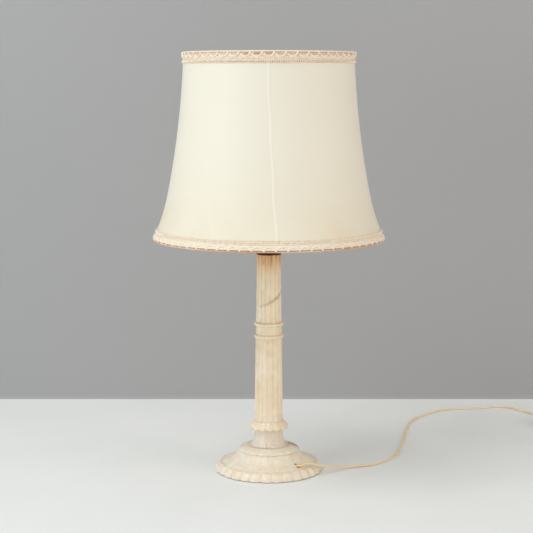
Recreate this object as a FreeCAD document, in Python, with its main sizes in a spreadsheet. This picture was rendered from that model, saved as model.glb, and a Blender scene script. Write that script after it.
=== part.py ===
import FreeCAD, Part
import Sketcher
import math
import os
import re

# Column table lamp: a turned and fluted stone column on a scalloped plinth,
# with a lamp holder, a bulb and a bell-shaped fabric shade, and its flex with
# an inline switch and a plug. Millimetres, +Z up, the floor at z = 0, the
# column's axis at x = y = 0. The front looks along -Y.

V = FreeCAD.Vector
doc = FreeCAD.newDocument("column_lamp")
sheet = doc.addObject("Spreadsheet::Sheet", "dim")

SIZES = {
    # felt under the plinth
    "felt_thickness": 1.2,
    "felt_radius": 74,
    # plinth: scalloped rim, then a cone of petals
    "rim_foot": 82,
    "rim_belly": 81.6,
    "rim_belly_height": 2.8,
    "rim_shoulder": 79.2,
    "rim_shoulder_height": 7.3,
    "rim_head": 73.9,
    "rim_height": 11.7,
    "scallops": 30,
    "scallop_depth": 2.1,
    "scallop_turn": 9,
    "petal_foot": 71.9,
    "petal_low": 66,
    "petal_low_height": 2.9,
    "petal_middle": 59,
    "petal_middle_height": 6.1,
    "petal_high": 52.5,
    "petal_high_height": 10.5,
    "petal_top": 48,
    "petal_top_height": 15.1,
    "petal_head": 46.5,
    "petal_height": 18.6,
    "petals": 18,
    "petal_depth": 1.1,
    "petal_turn": 17,
    "recess_radius": 40,
    "recess_depth": 22.8,
    "hole_radius": 2.9,
    "hole_height": 16.6,
    "hole_bearing": -47.3,
    "hole_joint": 57,
    "stone_bore": 5.25,
    # tier and trumpet neck
    "tier_radius": 46.3,
    "tier_edge": 1.5,
    "tier_shoulder": 44,
    "tier_rise": 3.5,
    "tier_height": 7.5,
    "tier_round": 60,
    "tier_ledge": 0.6,
    "neck_foot": 30,
    "neck_lip": 0.6,
    "neck_waist": 24.2,
    "neck_flare": 5,
    "neck_head": 21.2,
    "neck_height": 25.7,
    "neck_sweep": 7,
    "neck_hollow": 60,
    # lobed collar
    "collar_foot": 28.4,
    "collar_low": 29.7,
    "collar_low_height": 1.5,
    "collar_wide": 29.6,
    "collar_wide_height": 4.6,
    "collar_brow": 26.5,
    "collar_brow_height": 8.4,
    "collar_head": 22.6,
    "collar_height": 12.8,
    "collar_lobes": 15,
    "collar_depth": 1.7,
    "collar_turn": 21,
    # reeded shafts
    "reeds": 15,
    "reed_depth": 1.1,
    "lower_foot": 22.5,
    "lower_flare": 5,
    "lower_start": 21.7,
    "lower_head": 20.1,
    "lower_height": 127.7,
    "lower_turn": 1,
    "upper_foot": 19.7,
    "upper_head": 18.1,
    "upper_height": 103.7,
    "upper_turn": 16,
    "shaft_middle": 0.45,
    "shaft_swell": 0.1,
    # drum with two beads between the shafts
    "drum_foot": 21.2,
    "drum_band": 19.7,
    "bead_radius": 2.9,
    "bead_width": 5.2,
    "bead_groove": 0.4,
    "drum_height": 24.1,
    # clamping of the column
    "tube_radius": 5,
    "tube_bore": 4.1,
    "tube_below": 7.5,
    "tube_above": 10,
    "washer_radius": 22,
    "washer_thickness": 2,
    "nut_across": 17,
    "nut_height": 5,
    "cap_radius": 18.7,
    "cap_height": 3,
    "cap_hollow": 16,
    "cap_hollow_depth": 1.2,
    "cap_round": 1,
    # lamp holder
    "foot_radius": 15,
    "foot_hub": 10,
    "foot_height": 16,
    "foot_sweep": 14,
    "holder_radius": 19.75,
    "holder_bore": 16.8,
    "spigot_radius": 16.7,
    "spigot_bore": 15.2,
    "spigot_height": 6,
    "shell_height": 34,
    "shell_lip": 14.3,
    "shell_lip_thickness": 1.8,
    "shell_round": 1,
    "insert_radius": 15,
    "insert_flange": 16.6,
    "insert_height": 12,
    "flange_thickness": 3,
    "sleeve_radius": 13.9,
    "sleeve_wall": 0.5,
    "sleeve_height": 22.6,
    "tongue_radius": 4,
    "tongue_height": 2.4,
    "tongue_bevel": 1,
    "screw_radius": 2.2,
    "screw_height": 2.5,
    "screw_spacing": 18,
    "clamp_outer": 25,
    "clamp_height": 7,
    # bulb
    "bulb_radius": 30,
    "bulb_neck": 12.5,
    "bulb_wall": 0.8,
    "bulb_cap_radius": 13.1,
    "bulb_cap_wall": 0.4,
    "bulb_cap_height": 20,
    "bulb_cap_lip": 9,
    "bulb_length": 105,
    "bulb_shoulder": 60,
    "bulb_seat": 10,
    "bulb_stem": 26,
    "bulb_stand": 2.5,
    "button_radius": 3.5,
    "button_height": 1,
    "insulator_height": 4.5,
    "insulator_slope": 0.8,
    # shade
    "shade_foot": 358,
    "shade_height": 276.5,
    "braid_width": 17.6,
    "braid_thickness": 1.2,
    "braid_cord": 1.1,
    "braid_swell": 0.2,
    "shade_head_radius": 126.9,
    "shade_head_flare": 0.1,
    "shade_waist_radius": 150.3,
    "shade_waist_height": 72,
    "shade_foot_flare": 7.5,
    "shade_foot_radius": 173.2,
    "shade_upper_sweep": 1300,
    "shade_lower_sweep": 300,
    "cover_thickness": 0.8,
    "lining_thickness": 1,
    "fabric_edge": 1.2,
    "wire_radius": 1.75,
    "wire_inset": 2.1,
    "ring_height": 4.4,
    "top_ring_drop": 3.5,
    "carrier_plate": 1.2,
    "carrier_bore": 21,
    "carrier_radius": 32,
    "carrier_rise": 1,
    "arm_radius": 1.6,
    "arm_start": 26,
    "arms": 3,
    # flex, switch and plug
    "flex_radius": 2,
    "coil_outer": 29.8,
    "coil_inner": 16,
    "coil_pitch": 4.6,
    "coil_turns": 3,
    "coil_dip": 1.2,
    "switch_length": 62,
    "switch_width": 27,
    "switch_half": 9,
    "switch_end": 12,
    "switch_bevel": 2,
    "rocker_radius": 10,
    "rocker_width": 9,
    "rocker_pivot": 13,
    "rocker_tilt": 8,
    "plug_length": 36,
    "plug_width": 35.4,
    "plug_face": 26,
    "plug_tail": 11,
    "plug_widest": 0.62,
    "plug_waist": 60,
    "plug_shoulder": 30,
    "plug_round": 1.5,
    "pin_radius": 2,
    "pin_length": 19,
    "pin_spacing": 18.6,
    # clearances
    "slip": 0.05,
    "ease": 0.1,
    "rocker_gap": 0.35,
    "floor_gap": 0.05,
}

row = 0
for word, number in SIZES.items():
    row += 1
    sheet.set("A%d" % row, word)
    sheet.set("B%d" % row, str(number))
    sheet.setAlias("B%d" % row, word)
doc.recompute()


def bound(formula):
    """Formula with the sheet's name before each size."""
    return re.sub(r"[a-z_]+", lambda found: ("dim." if found[0] in SIZES else "") + found[0], formula)


def size(formula):
    """Value of a formula in millimetres or degrees."""
    value = sheet.evalExpression(bound(formula))
    return float(getattr(value, "Value", value))


# Heights of the seams in the stack, bottom to top.
PLINTH = "felt_thickness"
CONE = PLINTH + " + rim_height"
TIER = CONE + " + petal_height"
NECK = TIER + " + tier_height"
COLLAR = NECK + " + neck_height"
LOWER = COLLAR + " + collar_height"
DRUM = LOWER + " + lower_height"
UPPER = DRUM + " + drum_height"
CAP = UPPER + " + upper_height"
HOLDER = CAP + " + cap_height"
RECESS = PLINTH + " + recess_depth"
SHELL = HOLDER + " + foot_height"
SPIGOT = SHELL + " + spigot_height"
INSERT = SPIGOT + " + flange_thickness - insert_height"
SLEEVE = SPIGOT + " + flange_thickness"
TONGUE = SLEEVE + " + tongue_height"
BUTTON = TONGUE + " + ease"
BULB = BUTTON + " + bulb_stand"
RING = "shade_foot + ring_height"
PLATE = RING + " + carrier_rise"
PLATE_TOP = PLATE + " + carrier_plate"
SHADE_TOP = "shade_foot + shade_height"


def plane(body, role):
    for feature in body.Origin.OriginFeatures:
        if feature.Role == role:
            return feature


def outline(body, name, role, corners, level=None):
    """Closed sketch through corners (across, up[, radius of the edge that ends there]).

    A positive radius bulges to the right of the edge's direction.
    """
    sketch = body.newObject("Sketcher::SketchObject", name)
    sketch.AttachmentSupport = [(plane(body, role), "")]
    sketch.MapMode = "FlatFace"
    if level:
        sketch.setExpression("AttachmentOffset.Base.z", bound(level))
    points = [V(size(corner[0]), size(corner[1]), 0) for corner in corners]
    count = len(points)
    edges = []
    for index in range(count):
        start, end = points[index], points[(index + 1) % count]
        corner = corners[(index + 1) % count]
        if len(corner) == 3:
            radius = size(corner[2])
            chord = end - start
            depth = abs(radius) - math.sqrt(radius ** 2 - (chord.Length / 2) ** 2)
            side = V(chord.y, -chord.x, 0).normalize() * math.copysign(depth, radius)
            edge = sketch.addGeometry(Part.Arc(start, (start + end) / 2 + side, end))
            first = 1 if (sketch.getPoint(edge, 1) - start).Length < 1e-6 else 2
        else:
            edge = sketch.addGeometry(Part.LineSegment(start, end))
            first = 1
        edges.append((edge, first))
    for index in range(count):
        edge, first = edges[index]
        following, start = edges[(index + 1) % count]
        sketch.addConstraint(Sketcher.Constraint("Coincident", edge, 3 - first, following, start))
    for index in range(count):
        edge, first = edges[index]
        point = points[index]
        for axis, kind, value, other in ((0, "DistanceX", point.x, -2), (1, "DistanceY", point.y, -1)):
            if abs(value) < 1e-9:
                sketch.addConstraint(Sketcher.Constraint("PointOnObject", edge, first, other))
            else:
                number = sketch.addConstraint(Sketcher.Constraint(kind, -1, 1, edge, first, value))
                sketch.setExpression("Constraints[%d]" % number, bound(corners[index][axis]))
        corner = corners[(index + 1) % count]
        if len(corner) == 3:
            number = sketch.addConstraint(Sketcher.Constraint("Radius", edge, abs(size(corner[2]))))
            sketch.setExpression("Constraints[%d]" % number, bound("abs(%s)" % corner[2]))
    return sketch


def turned(name, corners):
    """A body turned about the column's axis from a profile of radii and heights."""
    body = doc.addObject("PartDesign::Body", name)
    sketch = outline(body, name + "_profile", "XZ_Plane", corners)
    feature = body.newObject("PartDesign::Revolution", name + "_turning")
    feature.Profile = sketch
    feature.ReferenceAxis = (sketch, ["V_Axis"])
    feature.Angle = 360
    body.Tip = feature
    return body


def pipe(name, inner, outer, bottom, height):
    """A plain tube or washer."""
    return turned(name, [
        (inner, bottom), (outer, bottom),
        (outer, bottom + " + " + height), (inner, bottom + " + " + height)])


def lobed(count, crest, depth, turn, level):
    """Closed wire of equal convex arcs that meet in notches on a circle."""
    number = int(size(count))
    outer, height, start = size(crest), size(level), size(turn)
    inner = outer - size(depth)
    points = []
    for index in range(2 * number):
        angle = math.radians(start + index * 180 / number)
        radius = outer if index % 2 else inner
        points.append(V(radius * math.cos(angle), radius * math.sin(angle), height))
    points.append(points[0])
    arcs = [Part.Arc(*points[index:index + 3]).toShape() for index in range(0, 2 * number, 2)]
    return Part.Wire(arcs)


def fluted(name, count, turn, sections, ruled=True):
    """A solid through lobed wires; each section is (crest radius, notch depth, height)."""
    feature = doc.addObject("Part::Feature", name)
    wires = [lobed(count, crest, depth, turn, level) for crest, depth, level in sections]
    feature.Shape = Part.makeLoft(wires, True, ruled)
    return feature


def cylinder(name, radius, height, level, across=("0", "0")):
    feature = doc.addObject("Part::Cylinder", name)
    feature.setExpression("Radius", bound(radius))
    feature.setExpression("Height", bound(height))
    feature.setExpression("Placement.Base.x", bound(across[0]))
    feature.setExpression("Placement.Base.y", bound(across[1]))
    feature.setExpression("Placement.Base.z", bound(level))
    return feature


def torus(name, ring, wire, level):
    feature = doc.addObject("Part::Torus", name)
    feature.setExpression("Radius1", bound(ring))
    feature.setExpression("Radius2", bound(wire))
    feature.setExpression("Placement.Base.z", bound(level))
    return feature


def joined(name, shapes):
    feature = doc.addObject("Part::MultiFuse", name)
    feature.Shapes = shapes
    return feature


def cut(name, base, tool):
    feature = doc.addObject("Part::Cut", name)
    feature.Base = base
    feature.Tool = tool
    return feature


def route(points):
    """Straight runs joined by tangent arcs, each as large as its two runs allow."""
    places = [V(*point) for point in points]
    start = places[0]
    edges, radii = [], []
    for index in range(1, len(places) - 1):
        corner = places[index]
        back, ahead = places[index - 1] - corner, places[index + 1] - corner
        reach = 0.45 * min(back.Length, ahead.Length)
        turn = math.pi - back.getAngle(ahead)
        back.normalize()
        ahead.normalize()
        radius = reach / math.tan(turn / 2)
        inside = (back + ahead).normalize()
        middle = corner + inside * (radius / math.cos(turn / 2) - radius)
        entry, leave = corner + back * reach, corner + ahead * reach
        edges.append(Part.LineSegment(start, entry).toShape())
        edges.append(Part.Arc(entry, middle, leave).toShape())
        start = leave
        radii.append(round(radius, 1))
    edges.append(Part.LineSegment(start, places[-1]).toShape())
    return Part.Wire(edges), radii


def flex(name, points):
    """Round tube of the flex along a route."""
    path, radii = route(points)
    radius = size("flex_radius")
    ahead = V(*points[1]) - V(*points[0])
    ring = Part.Wire(Part.makeCircle(radius, V(*points[0]), ahead))
    feature = doc.addObject("Part::Feature", name)
    feature.Shape = path.makePipeShell([ring], True, False)
    section = math.pi * radius ** 2
    print(name, "length", round(path.Length, 1), "volume ratio",
          round(feature.Shape.Volume / section / path.Length, 4), "radii", radii)
    return feature


# Plinth: the scalloped rim and the cone of petals are one stone.
rim = fluted("rim", "scallops", "scallop_turn", [
    ("rim_foot", "scallop_depth", PLINTH),
    ("rim_belly", "scallop_depth", PLINTH + " + rim_belly_height"),
    ("rim_shoulder", "scallop_depth", PLINTH + " + rim_shoulder_height"),
    ("rim_head", "scallop_depth * rim_head / rim_foot", CONE)])
cone = fluted("cone", "petals", "petal_turn", [
    ("petal_foot", "petal_depth", CONE + " - 1"),
    ("petal_foot", "petal_depth", CONE),
    ("petal_low", "petal_depth", CONE + " + petal_low_height"),
    ("petal_middle", "petal_depth * petal_middle / petal_low", CONE + " + petal_middle_height"),
    ("petal_high", "petal_depth * petal_high / petal_low", CONE + " + petal_high_height"),
    ("petal_top", "petal_depth * petal_top / petal_low", CONE + " + petal_top_height"),
    ("petal_head", "petal_depth * petal_head / petal_low", TIER)])
recess = cylinder("recess", "recess_radius", "recess_depth", PLINTH)
plinth_bore = cylinder("plinth_bore", "stone_bore", TIER, "0")
cord_hole = cylinder("cord_hole", "hole_radius", "rim_foot", "hole_height")
cord_hole.Placement = FreeCAD.Placement(
    V(0, 0, size("hole_height")),
    FreeCAD.Rotation(V(0, 0, 1), V(math.cos(math.radians(size("hole_bearing"))),
                                   math.sin(math.radians(size("hole_bearing"))), 0)))
cord_hole.setExpression("Placement.Base.z", bound("hole_height"))
plinth = cut("plinth", joined("plinth_stone", [rim, cone]),
             joined("plinth_cuts", [recess, plinth_bore, cord_hole]))

felt_pad = pipe("felt_pad", "0", "felt_radius", "0", "felt_thickness")

base_tier = turned("base_tier", [
    ("stone_bore", TIER), ("tier_radius", TIER),
    ("tier_radius", TIER + " + tier_edge"),
    ("tier_shoulder", TIER + " + tier_rise"),
    ("neck_foot + tier_ledge", NECK, "tier_round"),
    ("stone_bore", NECK)])

neck = turned("neck", [
    ("stone_bore", NECK), ("neck_foot", NECK), ("neck_foot", NECK + " + neck_lip"),
    ("neck_waist", NECK + " + neck_lip + neck_flare", "-neck_sweep"),
    ("neck_head", COLLAR, "-neck_hollow"), ("stone_bore", COLLAR)])

collar_stone = fluted("collar_stone", "collar_lobes", "collar_turn", [
    ("collar_foot", "collar_depth", COLLAR),
    ("collar_low", "collar_depth", COLLAR + " + collar_low_height"),
    ("collar_wide", "collar_depth", COLLAR + " + collar_wide_height"),
    ("collar_brow", "collar_depth * collar_brow / collar_wide", COLLAR + " + collar_brow_height"),
    ("collar_head", "collar_depth / 2", LOWER)])
collar = cut("collar", collar_stone, cylinder("collar_bore", "stone_bore", "collar_height", COLLAR))

lower_stone = fluted("lower_stone", "reeds", "lower_turn", [
    ("lower_foot", "reed_depth", LOWER),
    ("lower_start", "reed_depth", LOWER + " + lower_flare"),
    ("(lower_start + lower_head) / 2 + shaft_swell", "reed_depth", LOWER + " + lower_height * shaft_middle"),
    ("lower_head", "reed_depth", DRUM)])
lower_shaft = cut("lower_shaft", lower_stone,
                  cylinder("lower_bore", "stone_bore", "lower_height", LOWER))

ring_drum = turned("ring_drum", [
    ("stone_bore", DRUM), ("drum_foot", DRUM),
    ("drum_foot", DRUM + " + bead_width", "bead_radius"),
    ("drum_band", DRUM + " + bead_width + bead_groove"),
    ("drum_band", UPPER + " - bead_width - bead_groove"),
    ("drum_foot - bead_groove", UPPER + " - bead_width"),
    ("drum_foot - bead_groove", UPPER, "bead_radius"),
    ("stone_bore", UPPER)])

upper_stone = fluted("upper_stone", "reeds", "upper_turn", [
    ("upper_foot", "reed_depth", UPPER),
    ("(upper_foot + upper_head) / 2 - shaft_swell", "reed_depth", UPPER + " + upper_height * shaft_middle"),
    ("upper_head", "reed_depth", CAP)])
upper_shaft = cut("upper_shaft", upper_stone,
                  cylinder("upper_bore", "stone_bore", "upper_height", UPPER))

# Threaded tube through the column, drawn tight below and above.
stem_tube = pipe("stem_tube", "tube_bore", "tube_radius", RECESS + " - tube_below",
                 HOLDER + " + tube_above - (" + RECESS + " - tube_below)")
clamp_washer = pipe("clamp_washer", "tube_radius + slip", "washer_radius",
                    RECESS + " - washer_thickness", "washer_thickness")
nut_blank = doc.addObject("Part::Prism", "nut_blank")
nut_blank.Polygon = 6
nut_blank.setExpression("Circumradius", bound("nut_across / 2 / cos(30)"))
nut_blank.setExpression("Height", bound("nut_height"))
nut_blank.setExpression("Placement.Base.z", bound(RECESS + " - washer_thickness - nut_height"))
clamp_nut = cut("clamp_nut", nut_blank, cylinder(
    "nut_bore", "tube_radius + slip", "nut_height", RECESS + " - washer_thickness - nut_height"))
top_cap = turned("top_cap", [
    ("tube_radius + slip", CAP + " + cap_hollow_depth"), ("cap_hollow", CAP + " + cap_hollow_depth"),
    ("cap_hollow", CAP), ("cap_radius", CAP), ("cap_radius", HOLDER + " - cap_round"),
    ("cap_radius - cap_round", HOLDER, "cap_round"), ("tube_radius + slip", HOLDER)])

# Lamp holder: foot, threaded shell, ceramic insert, sleeve and contact.
holder_foot = turned("holder_foot", [
    ("tube_radius + slip", HOLDER), ("foot_radius", HOLDER),
    ("holder_radius", HOLDER + " + foot_hub", "foot_sweep"), ("holder_radius", SHELL),
    ("spigot_radius", SHELL), ("spigot_radius", SPIGOT), ("spigot_bore", SPIGOT),
    ("spigot_bore", HOLDER + " + foot_hub"), ("tube_radius + slip", HOLDER + " + foot_hub")])
holder_shell = turned("holder_shell", [
    ("holder_bore", SHELL), ("holder_radius", SHELL),
    ("holder_radius", SHELL + " + shell_height - shell_round"),
    ("holder_radius - shell_round", SHELL + " + shell_height", "shell_round"),
    ("shell_lip", SHELL + " + shell_height"),
    ("shell_lip", SHELL + " + shell_height - shell_lip_thickness"),
    ("holder_bore", SHELL + " + shell_height - shell_lip_thickness")])
holder_insert = turned("holder_insert", [
    ("0", INSERT), ("insert_radius", INSERT), ("insert_radius", SPIGOT),
    ("insert_flange", SPIGOT), ("insert_flange", SLEEVE), ("0", SLEEVE)])
holder_sleeve = pipe("holder_sleeve", "sleeve_radius - sleeve_wall", "sleeve_radius",
                     SLEEVE, "sleeve_height")
holder_contact = turned("holder_contact", [
    ("0", SLEEVE), ("tongue_radius", SLEEVE), ("tongue_radius", TONGUE + " - tongue_bevel"),
    ("tongue_radius - 2 * tongue_bevel", TONGUE), ("0", TONGUE)])
terminal_screws = joined("terminal_screws", [
    cylinder("screw_a", "screw_radius", "screw_height", INSERT + " - screw_height",
             ("screw_spacing / 2", "0")),
    cylinder("screw_b", "screw_radius", "screw_height", INSERT + " - screw_height",
             ("-screw_spacing / 2", "0"))])
shade_ring_lower = pipe("shade_ring_lower", "holder_radius + slip", "clamp_outer",
                        PLATE + " - ease - clamp_height", "clamp_height")
shade_ring_upper = pipe("shade_ring_upper", "holder_radius + slip", "clamp_outer",
                        PLATE_TOP + " + ease", "clamp_height")

# Bulb: glass, cap, and the insulator and button of its centre contact.
BULB_CENTRE = BULB + " + bulb_length - bulb_radius"
bulb_glass = turned("bulb_glass", [
    ("bulb_neck - bulb_wall", BULB + " + bulb_seat"), ("bulb_neck", BULB + " + bulb_seat"),
    ("bulb_neck", BULB + " + bulb_stem"),
    ("bulb_radius * cos(30)", BULB_CENTRE + " - bulb_radius / 2", "-bulb_shoulder"),
    ("bulb_radius", BULB_CENTRE, "bulb_radius"),
    ("0", BULB + " + bulb_length", "bulb_radius"),
    ("0", BULB + " + bulb_length - bulb_wall"),
    ("bulb_radius - bulb_wall", BULB_CENTRE, "-(bulb_radius - bulb_wall)"),
    ("(bulb_radius - bulb_wall) * cos(30)",
     BULB_CENTRE + " - (bulb_radius - bulb_wall) / 2", "-(bulb_radius - bulb_wall)"),
    ("bulb_neck - bulb_wall", BULB + " + bulb_stem", "bulb_shoulder")])
bulb_cap = turned("bulb_cap", [
    ("bulb_cap_lip", BULB), ("bulb_cap_radius", BULB),
    ("bulb_cap_radius", BULB + " + bulb_cap_height"),
    ("bulb_cap_radius - bulb_cap_wall", BULB + " + bulb_cap_height"),
    ("bulb_cap_radius - bulb_cap_wall", BULB + " + bulb_cap_wall"),
    ("bulb_cap_lip", BULB + " + bulb_cap_wall")])
bulb_insulator = turned("bulb_insulator", [
    ("0", BUTTON + " + button_height"), ("button_radius + insulator_slope", BUTTON + " + button_height"),
    ("bulb_cap_lip - slip", BULB), ("bulb_cap_lip - slip", BUTTON + " + button_height + insulator_height"),
    ("0", BUTTON + " + button_height + insulator_height")])
bulb_button = turned("bulb_button", [
    ("0", BUTTON), ("button_radius - button_height", BUTTON), ("button_radius", BUTTON + " + button_height"),
    ("0", BUTTON + " + button_height")])

# Shade: fabric over a moulded lining, two wire rings, a carrier and braid.
WAIST = "shade_foot + shade_waist_height"
HEAD_BAND = SHADE_TOP + " - braid_width"
FOOT_BAND = "shade_foot + braid_width"
HEAD_WIDE = "(shade_head_radius + shade_head_flare)"
FOOT_WIDE = "(shade_foot_radius - shade_foot_flare)"


def skin(name, inset, thickness):
    """One layer of the bell, a horizontal distance inside the fabric's outline."""
    def line(radius, extra):
        return radius + " - (" + inset + ")" + extra
    outer = [
        (line("shade_foot_radius", ""), "shade_foot + fabric_edge"),
        (line(FOOT_WIDE, ""), FOOT_BAND),
        (line("shade_waist_radius", ""), WAIST, "-shade_lower_sweep"),
        (line(HEAD_WIDE, ""), HEAD_BAND, "-shade_upper_sweep"),
        (line("shade_head_radius", ""), SHADE_TOP + " - fabric_edge")]
    less = " - " + thickness
    inner = [
        (line("shade_head_radius", less), SHADE_TOP + " - fabric_edge"),
        (line(HEAD_WIDE, less), HEAD_BAND),
        (line("shade_waist_radius", less), WAIST, "shade_upper_sweep"),
        (line(FOOT_WIDE, less), FOOT_BAND, "shade_lower_sweep"),
        (line("shade_foot_radius", less), "shade_foot + fabric_edge")]
    return turned(name, outer + inner)


shade_cover = skin("shade_cover", "0", "cover_thickness")
shade_lining = skin("shade_lining", "cover_thickness + slip", "lining_thickness")
SKIN = "(cover_thickness + slip + lining_thickness)"
bottom_ring = torus("frame_bottom_ring", "shade_foot_radius - " + SKIN + " - wire_inset - wire_radius",
                    "wire_radius", RING)
top_ring = torus("frame_top_ring", "shade_head_radius - " + SKIN + " - slip - wire_radius",
                 "wire_radius", SHADE_TOP + " - top_ring_drop")

carrier_plate = cut("carrier_disc", cylinder("plate_blank", "carrier_radius", "carrier_plate", PLATE),
                    cylinder("plate_bore", "carrier_bore", "carrier_plate", PLATE))
arm_shapes = [carrier_plate]
for number in range(int(size("arms"))):
    arm = cylinder("arm_%d" % number, "arm_radius",
                   "shade_foot_radius - " + SKIN + " - wire_inset - 2 * wire_radius - arm_start", RING)
    angle = math.radians(90 + number * 360 / size("arms"))
    toward = V(math.cos(angle), math.sin(angle), 0)
    arm.Placement = FreeCAD.Placement(V(0, 0, 0), FreeCAD.Rotation(V(0, 0, 1), toward))
    for axis, share in (("x", toward.x), ("y", toward.y)):
        arm.setExpression("Placement.Base." + axis, bound("arm_start * %.9f" % share))
    arm.setExpression("Placement.Base.z", bound(RING))
    arm_shapes.append(arm)
shade_carrier = joined("shade_carrier", arm_shapes)

top_braid = turned("top_braid", [
    (HEAD_WIDE + " + slip", HEAD_BAND),
    (HEAD_WIDE + " + slip + braid_thickness", HEAD_BAND),
    ("shade_head_radius + slip + braid_thickness", SHADE_TOP + " - 2 * braid_cord"),
    ("shade_head_radius + slip + braid_thickness", SHADE_TOP, "braid_cord + braid_swell"),
    ("shade_head_radius + slip", SHADE_TOP), ("shade_head_radius + slip", SHADE_TOP + " - fabric_edge")])
bottom_braid = turned("bottom_braid", [
    ("shade_foot_radius + slip", "shade_foot"),
    ("shade_foot_radius + slip + braid_thickness", "shade_foot"),
    ("shade_foot_radius + slip + braid_thickness", "shade_foot + 2 * braid_cord",
     "braid_cord + braid_swell"),
    (FOOT_WIDE + " + slip + braid_thickness", FOOT_BAND), (FOOT_WIDE + " + slip", FOOT_BAND),
    ("shade_foot_radius + slip", "shade_foot + fabric_edge")])

# Flex: held inside the lamp, then free over the rim and along the floor.
bearing = math.radians(size("hole_bearing"))
ACROSS, ALONG = math.cos(bearing), math.sin(bearing)
HOLE = size("hole_height")
FLOOR = size("flex_radius + floor_gap")
JOIN = size("hole_joint")


def outward(reach, height):
    return (ACROSS * reach, ALONG * reach, height)


flex_inside = flex("flex_inside", [
    outward(JOIN, HOLE), outward(34, HOLE), outward(14, 5), (0, 0, 13), (0, 0, size(INSERT))])

switch_x, switch_y, switch_z = 485, 290, 6.5
flex_free = flex("flex_free", [
    outward(JOIN, HOLE), outward(68.5, HOLE), (55.8, -42.3, 19.3), (66, -39, 18.9),
    (77.5, -33.5, 14.8), (86.4, -28.1, 11.8), (96.5, -21.6, 9), (106, -13.7, 6.9),
    (116.6, -5.5, 5.2), (139.9, 6.1, 3.2), (157.3, 12.6, 2.3), (169.8, 23.2, FLOOR),
    (181.3, 34.8, FLOOR), (190.8, 49.6, FLOOR), (202.8, 68.7, FLOOR), (210.8, 100.2, FLOOR),
    (220, 144.1, FLOOR), (228.3, 188, FLOOR), (236.4, 234.5, FLOOR), (246.2, 283.8, FLOOR),
    (261.3, 315.3, FLOOR), (282.3, 342.4, FLOOR), (301.9, 363.9, FLOOR), (325.5, 379.7, FLOOR),
    (353.5, 385.6, FLOOR), (380.6, 387, FLOOR), (405.6, 395.5, FLOOR), (424.7, 400, FLOOR),
    (440.7, 392.1, FLOOR), (451.1, 378, FLOOR), (461.6, 362.7, FLOOR), (473.1, 343.5, FLOOR),
    (480.6, 327.5, 2.5), (484.4, 312.5, 5.3),
    (switch_x, switch_y + 10, switch_z), (switch_x, switch_y, switch_z)])

tail_y = switch_y - size("switch_length")
coil_y = tail_y - 38
coil_x = switch_x + size("coil_outer")
STUB = size("2 * flex_radius")
flex_to_coil = flex("flex_to_coil", [
    (switch_x, tail_y, switch_z), (switch_x, tail_y - 9, switch_z),
    (switch_x, tail_y - 23, FLOOR), (switch_x, coil_y + STUB, FLOOR)])


def coil_point(turns):
    """Centre line of the coil: in along the floor, up a layer, out again."""
    count, outer, inner = size("coil_turns"), size("coil_outer"), size("coil_inner")
    rate = (outer - inner) / count
    lift = size("coil_pitch")
    total = 2 * count + 0.5
    if turns <= count:
        radius, height = outer - rate * turns, 0
    elif turns >= count + 0.5:
        radius, height = outer - rate * (total - turns), lift
    else:
        share = (turns - count) / 0.5
        radius = inner - size("coil_dip") * math.sin(math.pi * share)
        height = lift * (1 - math.cos(math.pi * share)) / 2
    angle = math.pi + 2 * math.pi * turns
    return V(coil_x + radius * math.cos(angle), coil_y + radius * math.sin(angle), FLOOR + height)


def coil_heading(turns):
    if turns < 1e-6:
        return V(0, -1, 0)
    if turns > 2 * size("coil_turns") + 0.5 - 1e-6:
        return V(0, 1, 0)
    return (coil_point(turns + 1e-4) - coil_point(turns - 1e-4)).normalize()


def biarc(start, first, end, last):
    """Two tangent arcs between two points with given directions."""
    chord = start - end
    total = first + last
    a = 2 * (first.dot(last) - 1)
    b = 2 * chord.dot(total)
    c = chord.dot(chord)
    reach = (-b - math.sqrt(b * b - 4 * a * c)) / (2 * a)
    if reach < 0:
        reach = (-b + math.sqrt(b * b - 4 * a * c)) / (2 * a)
    knee_a, knee_b = start + first * reach, end - last * reach
    middle = (knee_a + knee_b) / 2
    arcs = []
    for near, knee, far in ((start, knee_a, middle), (middle, knee_b, end)):
        u, w = (near - knee).normalize(), (far - knee).normalize()
        half = u.getAngle(w) / 2
        radius = (near - knee).Length * math.tan(half)
        top = knee + (u + w).normalize() * (radius / math.sin(half) - radius)
        arcs.append(Part.Arc(near, top, far).toShape())
    return arcs


coil_steps = int(round((2 * size("coil_turns") + 0.5) * 4))
coil_edges = [Part.LineSegment(V(switch_x, coil_y + STUB, FLOOR), coil_point(0)).toShape()]
for step in range(coil_steps):
    one, two = step / 4, (step + 1) / 4
    coil_edges += biarc(coil_point(one), coil_heading(one), coil_point(two), coil_heading(two))
coil_end = coil_point(coil_steps / 4)
coil_edges.append(Part.LineSegment(coil_end, coil_end + V(0, STUB, 0)).toShape())
coil_path = Part.Wire(coil_edges)
coil_ring = Part.Wire(Part.makeCircle(size("flex_radius"), V(switch_x, coil_y + STUB, FLOOR), V(0, -1, 0)))
flex_coil = doc.addObject("Part::Feature", "flex_coil")
flex_coil.Shape = coil_path.makePipeShell([coil_ring], True, False)

samples = [coil_point(number / 120) for number in range(int(coil_steps * 30) + 1)]
least = min((one - two).Length for number, one in enumerate(samples) for two in samples[number + 40:])
print("flex_coil length", round(coil_path.Length, 1), "volume ratio",
      round(flex_coil.Shape.Volume / math.pi / size("flex_radius") ** 2 / coil_path.Length, 4),
      "least gap", round(least - size("2 * flex_radius"), 2))

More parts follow.
